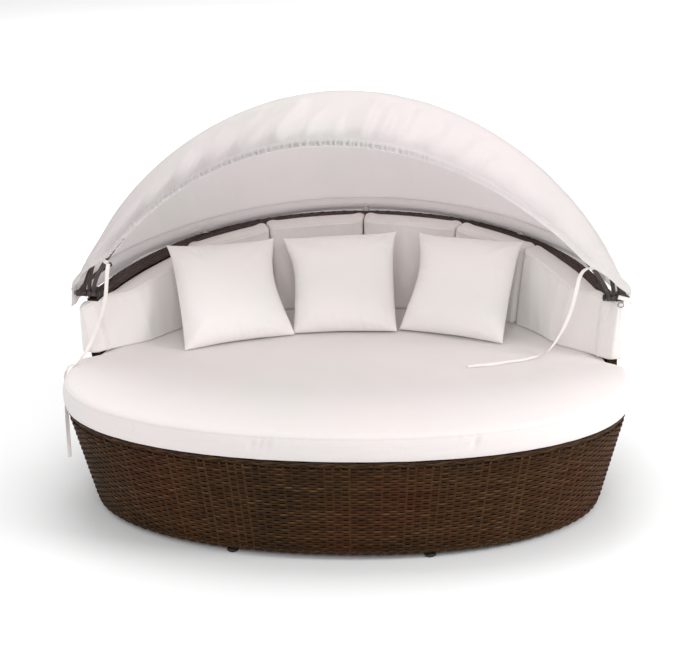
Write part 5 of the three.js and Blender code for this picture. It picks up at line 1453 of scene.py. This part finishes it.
def wall_pad(name, node_name, th0, th1, seed, nose=False, mirror=False, r_end=0.022, lean=0.014, drop=0.020, rise=0.0):
    step = 0.0055
    fine_th = np.linspace(th0, th1, 4001)
    mid_d = 0.07
    mp = plan(fine_th, mid_d, 1.0)
    dist = np.concatenate([[0], np.cumsum(np.linalg.norm(np.diff(mp, axis=0), axis=1))])
    total = dist[-1]
    n = max(24, int(total / step))
    ends = r_end * (1 - np.cos(np.linspace(0, np.pi / 2, 8)))
    s = np.concatenate([ends[:-1], np.linspace(r_end, total - r_end, n), total - ends[:-1][::-1]])
    if nose:
        # stations close together where the pad steps in behind the front of the arm
        y_line = plan(fine_th, 0.0, 1.0)[:, 1]
        s_step = np.interp([YC + 0.1915, YC + 0.1935, YC + 0.1955, YC + 0.1975], y_line, dist)
        s = np.sort(np.concatenate([s[np.abs(s - s_step.mean()) > 0.0035], s_step]))
    tt = np.interp(s, dist, fine_th)
    P0 = plan(tt, 0.0, 1.0)
    y = P0[:, 1] - YC
    back_pad = not nose
    wall = np.full(len(tt), WALL_IN + (0.0060 if back_pad else 0.0026))
    if nose:
        wall = np.where(y < 0.1945, -0.0030, WALL_IN + 0.0046)
    round_end = np.minimum(s, total - s)
    k = 1 - np.clip(round_end / r_end, 0, 1)
    ease = 1 - np.sqrt(np.clip(1 - k * k, 0, 1))
    back = wall + 0.0045 * ease
    face = np.maximum(wall + 0.036, np.interp(y, FACE[:, 0], FACE[:, 1])) - 0.017 * ease
    if nose:
        face = np.maximum(face, back + 0.030)
    if back_pad:
        mid_sag = np.sin(np.pi * np.clip(s / total, 0, 1)) ** 0.6
        top = rim_height(plan(tt, WALL_OUT, 1.0)[:, 1]) - drop - 0.005 * ease - 0.0035 * mid_sag + 0.004 * np.exp(-((round_end - 0.020) / 0.016) ** 2)
    else:
        top = rim_height(plan(tt, WALL_IN, 1.0)[:, 1]) - np.interp(y, [0.22, 0.32, 0.42, 0.52, 0.57, 0.618], drop) - 0.007 * ease
    if nose:
        top = top + 0.0155 * (1 - smooth(y, 0.235, 0.330))
    bot = 0.4378 + 0.006 * ease
    kk = np.minimum(1, (face - back) / 0.09)
    topface = face - lean * kk
    u = s / total
    # outline of the section, starting at the foot of the back and going under, up the face, over the top
    rc = 0.0120 if nose else 0.0165
    cols = 104
    rows = []
    marks = None
    for i in range(len(tt)):
        b0, f0, f1_, z0, z1 = back[i], face[i], topface[i], bot[i], top[i]
        rr = min(rc, (f0 - b0) * 0.38)
        rb = min(0.008, (f0 - b0) * 0.25)
        # the crease of each seam sits in the rounded corner
        pts, seam = [], []

        def arc(cx, cz, radius, a0, a1, m, seamed):
            for q in range(m):
                w = a0 + (a1 - a0) * q / (m - 1)
                pinch = math.exp(-(((q / (m - 1)) - 0.42) / 0.10) ** 2) if seamed else 0
                rad = radius + 0.0006 - 0.0026 * pinch
                pts.append((cx + rad * math.cos(w), cz + rad * math.sin(w)))
                seam.append(pinch)

        def line(p, q, m, push, way):
            for t in np.linspace(0, 1, m + 2)[1:-1]:
                bulge = push * math.sin(math.pi * t) ** 0.8
                pts.append((p[0] + (q[0] - p[0]) * t + way[0] * bulge, p[1] + (q[1] - p[1]) * t + way[1] * bulge))
                seam.append(0)

        soft = math.sin(math.pi * min(1, max(0, u[i]))) ** 0.35
        fb = 0.0085 * soft * kk[i]
        arc(b0 + rb, z0 + rb, rb, math.pi, 1.5 * math.pi, 9, True)
        line((b0 + rb, z0), (f0 - rr * 0.62, z0), 8, 0.0, (0, 0))
        rl = rr * 0.62
        arc(f0 - rl, z0 + rl, rl, 1.5 * math.pi, 2 * math.pi, 11, True)
        line((f0, z0 + rl), (f1_, z1 - rr), 26, fb, (1, 0))
        arc(f1_ - rr, z1 - rr, rr, 0, 0.5 * math.pi, 13, True)
        line((f1_ - rr, z1), (b0 + rb, z1), 12, 0.0035 * soft, (0, 1))
        arc(b0 + rb, z1 - rb, rb, 0.5 * math.pi, math.pi, 9, True)
        line((b0, z1 - rb), (b0, z0 + rb), 14, 0.0, (0, 0))
        rows.append(pts)
        marks = seam
    sec = np.array(rows)
    T = np.broadcast_to(tt[:, None], sec.shape[:2])
    if mirror:
        T = math.pi - T
    V = plan(T, sec[..., 0], 1.0)
    V[..., 2] = sec[..., 1]
    N = grid_normals(V, wrap_c=True)
    mid = V.mean(1, keepdims=True)
    if ((V - mid) * N).sum(-1).mean() < 0:
        N = -N
    # soft wrinkles: broad ones over the face, short ones beside the seams, level ones at the ends
    S = np.broadcast_to(s[:, None], sec.shape[:2])
    Zc = sec[..., 1]
    facing = smooth(sec[..., 0] - back[:, None], 0.02, 0.05)
    inner_zone = smooth(np.minimum(s, total - s), 0.0, 0.03)[:, None]
    h = 0.0013 * wavy2(S, Zc, seed, 12, 2.0, 8.0) * facing * inner_zone
    h = h + 0.0007 * wavy2(S * 1.3, Zc * 0.6, seed + 1, 12, 9, 24) * facing * inner_zone
    from_top = np.clip(top[:, None] - Zc, 0, 1)
    h = h + 0.0011 * wavy(S + 0.06 * from_top, seed + 2, 9, 9, 28) * np.exp(-((from_top - 0.030) / 0.022) ** 2) * facing * inner_zone
    from_bot = np.clip(Zc - bot[:, None], 0, 1)
    h = h + 0.0009 * wavy(S - 0.05 * from_bot, seed + 3, 9, 9, 28) * np.exp(-((from_bot - 0.030) / 0.020) ** 2) * facing * inner_zone
    end_zone = np.exp(-((np.minimum(s, total - s) - 0.016) / 0.014) ** 2)[:, None]
    h = h + 0.0010 * wavy(Zc, seed + 4, 6, 14, 30) * end_zone * facing
    if nose:
        nose_zone = (1 - smooth(s, 0.035, 0.060))[:, None]
        h = h + nose_zone * 0.0024 * (np.abs(np.cos(np.pi * (Zc - 0.44) / 0.050)) ** 0.6 - 0.6) * smooth(Zc, 0.45, 0.47) * (1 - smooth(Zc, 0.555, 0.58))
    V = V + N * h[..., None]
    # the flat end is closed towards its middle with a shallow dome
    def cap(ring, nxt):
        c = ring.mean(0)
        away = ring.mean(0) - nxt.mean(0)
        away /= np.linalg.norm(away)
        out = []
        for q in (0.82, 0.55, 0.25):
            out.append(c + (ring - c) * q + away * 0.0009 * (1 - q))
        return out

    first, last = cap(V[0], V[3]), cap(V[-1], V[-4])
    rings = np.array(first[::-1] + list(V) + last)
    v, f4, f3 = closed_rings(rings)
    o = mesh_obj(name, v, f4, f3, mats=M_CUSHION)
    put(o, "root", [node_name])
    return o


half_pi = math.pi / 2
th_nose = angle_at(YC + 0.152)
wall_pad("arm_pad_left", "arm_cushion_left", th_nose, TH_A - GAP, 201, nose=True, lean=0.042, drop=(-0.004, 0.006, 0.006, 0.003, -0.002, -0.010))
wall_pad("arm_pad_right", "arm_cushion_right", th_nose, TH_A - GAP, 211, nose=True, mirror=True, lean=0.046, drop=(0.026, 0.025, 0.026, 0.025, 0.022, 0.016))
PAD_GAP = GAP * 0.55
wall_pad("back_pad_outer_left", "back_cushion_outer_left", TH_A + PAD_GAP, TH_B - PAD_GAP, 221, lean=0.050, drop=0.001, r_end=0.016)
wall_pad("back_pad_outer_right", "back_cushion_outer_right", TH_A + PAD_GAP, TH_B - PAD_GAP, 231, mirror=True, lean=0.050, drop=0.007, r_end=0.016)
wall_pad("back_pad_inner_left", "back_cushion_inner_left", TH_B + PAD_GAP, half_pi - PAD_GAP, 241, lean=0.050, drop=0.001, r_end=0.016)
wall_pad("back_pad_inner_right", "back_cushion_inner_right", TH_B + PAD_GAP, half_pi - PAD_GAP, 251, mirror=True, lean=0.050, drop=0.002, r_end=0.016)
print("cushions done")


# ------------------------------------------------------------------ throw pillows, two square faces sewn along their edges
def sewn_pillow(seed, ears, n=None):
    """ears are the shifts (x, z) of the corners top left, top right, bottom left, bottom right."""
    n = n or (84)
    g = np.sin(np.pi / 2 * np.linspace(-1, 1, n + 1))
    gx, gz = np.meshgrid(g, g, indexing="ij")
    half = PILLOW / 2 - 0.001
    lx, lz = 1 - gx * gx, 1 - gz * gz
    hollow_side, hollow_top, hollow_low = 0.082, 0.084, 0.020
    x = gx * (1 - hollow_side * lz ** 0.8 * (1 + 0.35 * gz)) * half
    z = gz * (1 - np.where(gz > 0, hollow_top, hollow_low) * lx ** 0.9) * half
    full = np.clip((1 - gx ** 4) * (1 - gz ** 4), 0, 1) ** 0.58
    # fuller low down, thinner towards the upper seam
    full = full * (1 - 0.16 * gz)
    edge = np.minimum(1 - np.abs(gx), 1 - np.abs(gz))
    sides = []
    for k, sgn in enumerate((-1, 1)):
        t = 0.057 * full
        zone = smooth(edge, 0.0, 0.05) * (1 - smooth(edge, 0.16, 0.42))
        pucker = np.where(np.abs(gx) > np.abs(gz), wavy(gz * 0.9 + 0.3 * gx, seed + k, 9, 2.5, 8.5), wavy(gx * 0.9 + 2.0 + 0.3 * gz, seed + 5 + k, 9, 2.5, 8.5))
        t = t + 0.0011 * pucker * zone
        t = t + 0.0022 * wavy2(gx * 1.0, gz * 1.0, seed + 9 + k, 9, 0.4, 1.6) * smooth(edge, 0.03, 0.35)
        # creases that run in from the corners
        for cx in (-1, 1):
            for cz in (-1, 1):
                ax, az = (1 - cx * gx), (1 - cz * gz)
                away = np.hypot(ax, az)
                turn_ = np.arctan2(az, ax + 1e-9)
                fold = np.exp(-((turn_ - math.pi / 4 - 0.16 * math.sin(seed + cx * 2 + cz)) / 0.20) ** 2) - 0.55 * np.exp(-((turn_ - math.pi / 4 + 0.34) / 0.16) ** 2)
                t = t + 0.0030 * fold * smooth(away, 0.10, 0.34) * (1 - smooth(away, 0.42, 0.95)) * smooth(edge, 0.0, 0.06)
        sides.append(sgn * np.maximum(t * smooth(edge, -0.01, 0.004) + 0.0, 0.0) * (edge > 1e-9))
    for (cx, cz), (ex, ez) in zip(((-1, 1), (1, 1), (-1, -1), (1, -1)), ears):
        near = np.exp(-((((1 - cx * gx)) ** 2 + ((1 - cz * gz)) ** 2) / 0.36))
        x, z = x + ex * near, z + ez * near
    # the seam itself wanders a little
    seam = np.exp(-(edge / 0.05) ** 2)
    sway = 0.0016 * wavy2(gx * 1.4, gz * 1.4, seed + 21, 8, 0.5, 1.8) * seam
    front = np.stack([x, sides[0] + sway, z], -1).reshape(-1, 3)
    inner = (edge > 1e-9).ravel()
    inner_id = np.where(inner)[0]
    back_id = np.arange((n + 1) ** 2)
    back_id[inner_id] = (n + 1) ** 2 + np.arange(len(inner_id))
    back_pts = np.stack([x, sides[1] + sway, z], -1).reshape(-1, 3)[inner_id]
    f = quads(n + 1, n + 1)
    return np.vstack([front, back_pts]), np.vstack([f, back_id[f][:, ::-1]])


def finish_pillow(name, node_name, seed, x, y, yaw, lean, ears):
    co, faces = sewn_pillow(seed, ears)
    lean_r, yaw_r = -math.radians(lean), math.radians(yaw)
    co[:, 2] += PILLOW / 2
    c, s = math.cos(lean_r), math.sin(lean_r)
    co = np.stack([co[:, 0], co[:, 1] * c - co[:, 2] * s, co[:, 1] * s + co[:, 2] * c], 1)
    c, s = math.cos(yaw_r), math.sin(yaw_r)
    co = np.stack([co[:, 0] * c - co[:, 1] * s, co[:, 0] * s + co[:, 1] * c, co[:, 2]], 1)
    co += np.array([x / 1000, YC + y / 1000, SEAT_TOP + CUSHION_CROWN + 0.003 + 0.007 * math.sin(math.radians(lean))])
    o = mesh_obj(name, co, outward(co, faces), mats=M_PILLOW)
    sub = o.modifiers.new("sub", "SUBSURF")
    sub.levels = sub.render_levels = 1
    dg = bpy.context.evaluated_depsgraph_get()
    me = bpy.data.meshes.new_from_object(o.evaluated_get(dg))
    o.modifiers.clear()
    o.data = me
    put(o, f"{node_name}_body", [node_name])
    return o


finish_pillow("throw_right", "pillow_right", 301, -396, 262, 25, 38, ((0.008, 0.006), (0.019, -0.014), (0.0, -0.006), (0.016, -0.004)))
finish_pillow("throw_middle", "pillow_middle", 302, -38, 372, 4, 38, ((-0.032, -0.022), (-0.004, -0.004), (0.008, -0.004), (-0.004, 0.0)))
finish_pillow("throw_left", "pillow_left", 303, 338, 345, -19, 38, ((-0.024, -0.014), (-0.010, -0.006), (-0.008, -0.002), (0.0, -0.004)))
print("pillows done")

# ------------------------------------------------------------------ carried-over parts of the frame
for n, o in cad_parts.items():
    if o.hide_render:
        continue
    mat = M_DECK if n == "seat_deck" else M_FRAME
    o.data.materials.clear()
    o.data.materials.append(mat)
    print("carried over", n)

# ------------------------------------------------------------------ floor and light
floor_mat, nt, b = new_mat("floor")
co = coords(nt)
nt.links.new(ramp(nt, noise(nt, co, 0.7, 2.0, 0.5), [(0.3, (0.88, 0.88, 0.88, 1)), (0.7, (0.90, 0.90, 0.90, 1))]), b.inputs["Base Color"])
b.inputs["Roughness"].default_value = 0.9
b.inputs["Specular IOR Level"].default_value = 0.1
fl = mesh_obj("floor", [(-13, -13, 0), (13, -13, 0), (13, 13, 0), (-13, 13, 0)], [[0, 1, 2, 3]], mats=floor_mat, smooth_shade=False)
fl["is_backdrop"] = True


def area(name, at, to, size, power, colour=(1, 1, 1)):
    d = bpy.data.lights.new(name, "AREA")
    d.shape = "RECTANGLE"
    d.size, d.size_y = size
    d.energy = power
    d.color = colour
    o = bpy.data.objects.new(name, d)
    o.location = at
    o.rotation_euler = (Vector(to) - Vector(at)).to_track_quat("-Z", "Y").to_euler()
    bpy.context.scene.collection.objects.link(o)
    return o


area("key", (4.2, -1.2, 2.3), (0, 0, 0.80), (1.3, 1.1), 98, (1.0, 1.0, 1.0))
area("fill", (-3.4, -1.7, 1.9), (0, 0, 0.9), (2.2, 1.8), 14, (1.0, 1.0, 1.0))
area("front", (0.5, -6.8, 4.4), (0, 0, 0.60), (4.2, 2.4), 152, (1.0, 1.0, 1.0))
area("top", (-0.2, 1.1, 4.3), (0, 0, 0.7), (3.4, 3.0), 105, (1.0, 1.0, 1.0))
area("floor_behind", (0.0, 4.2, 4.8), (0, 11.0, 0.0), (10.0, 2.0), 640, (1.0, 1.0, 1.0))
bpy.context.scene.view_settings.view_transform = "Standard"
world = bpy.data.worlds.new("sky")
world.use_nodes = True
world.node_tree.nodes["Background"].inputs[0].default_value = (1.0, 1.0, 1.0, 1)
world.node_tree.nodes["Background"].inputs[1].default_value = 0.60
bpy.context.scene.world = world

def plain(v):
    if isinstance(v, dict):
        return {k: plain(x) for k, x in v.items()}
    if isinstance(v, (list, tuple)) or type(v).__name__ == "Vector":
        return [plain(x) for x in v]
    return float(v) if isinstance(v, (int, float)) or hasattr(v, "__float__") else str(v)

{"cad": plain(CAD_BOX), "visual": plain(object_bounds())}
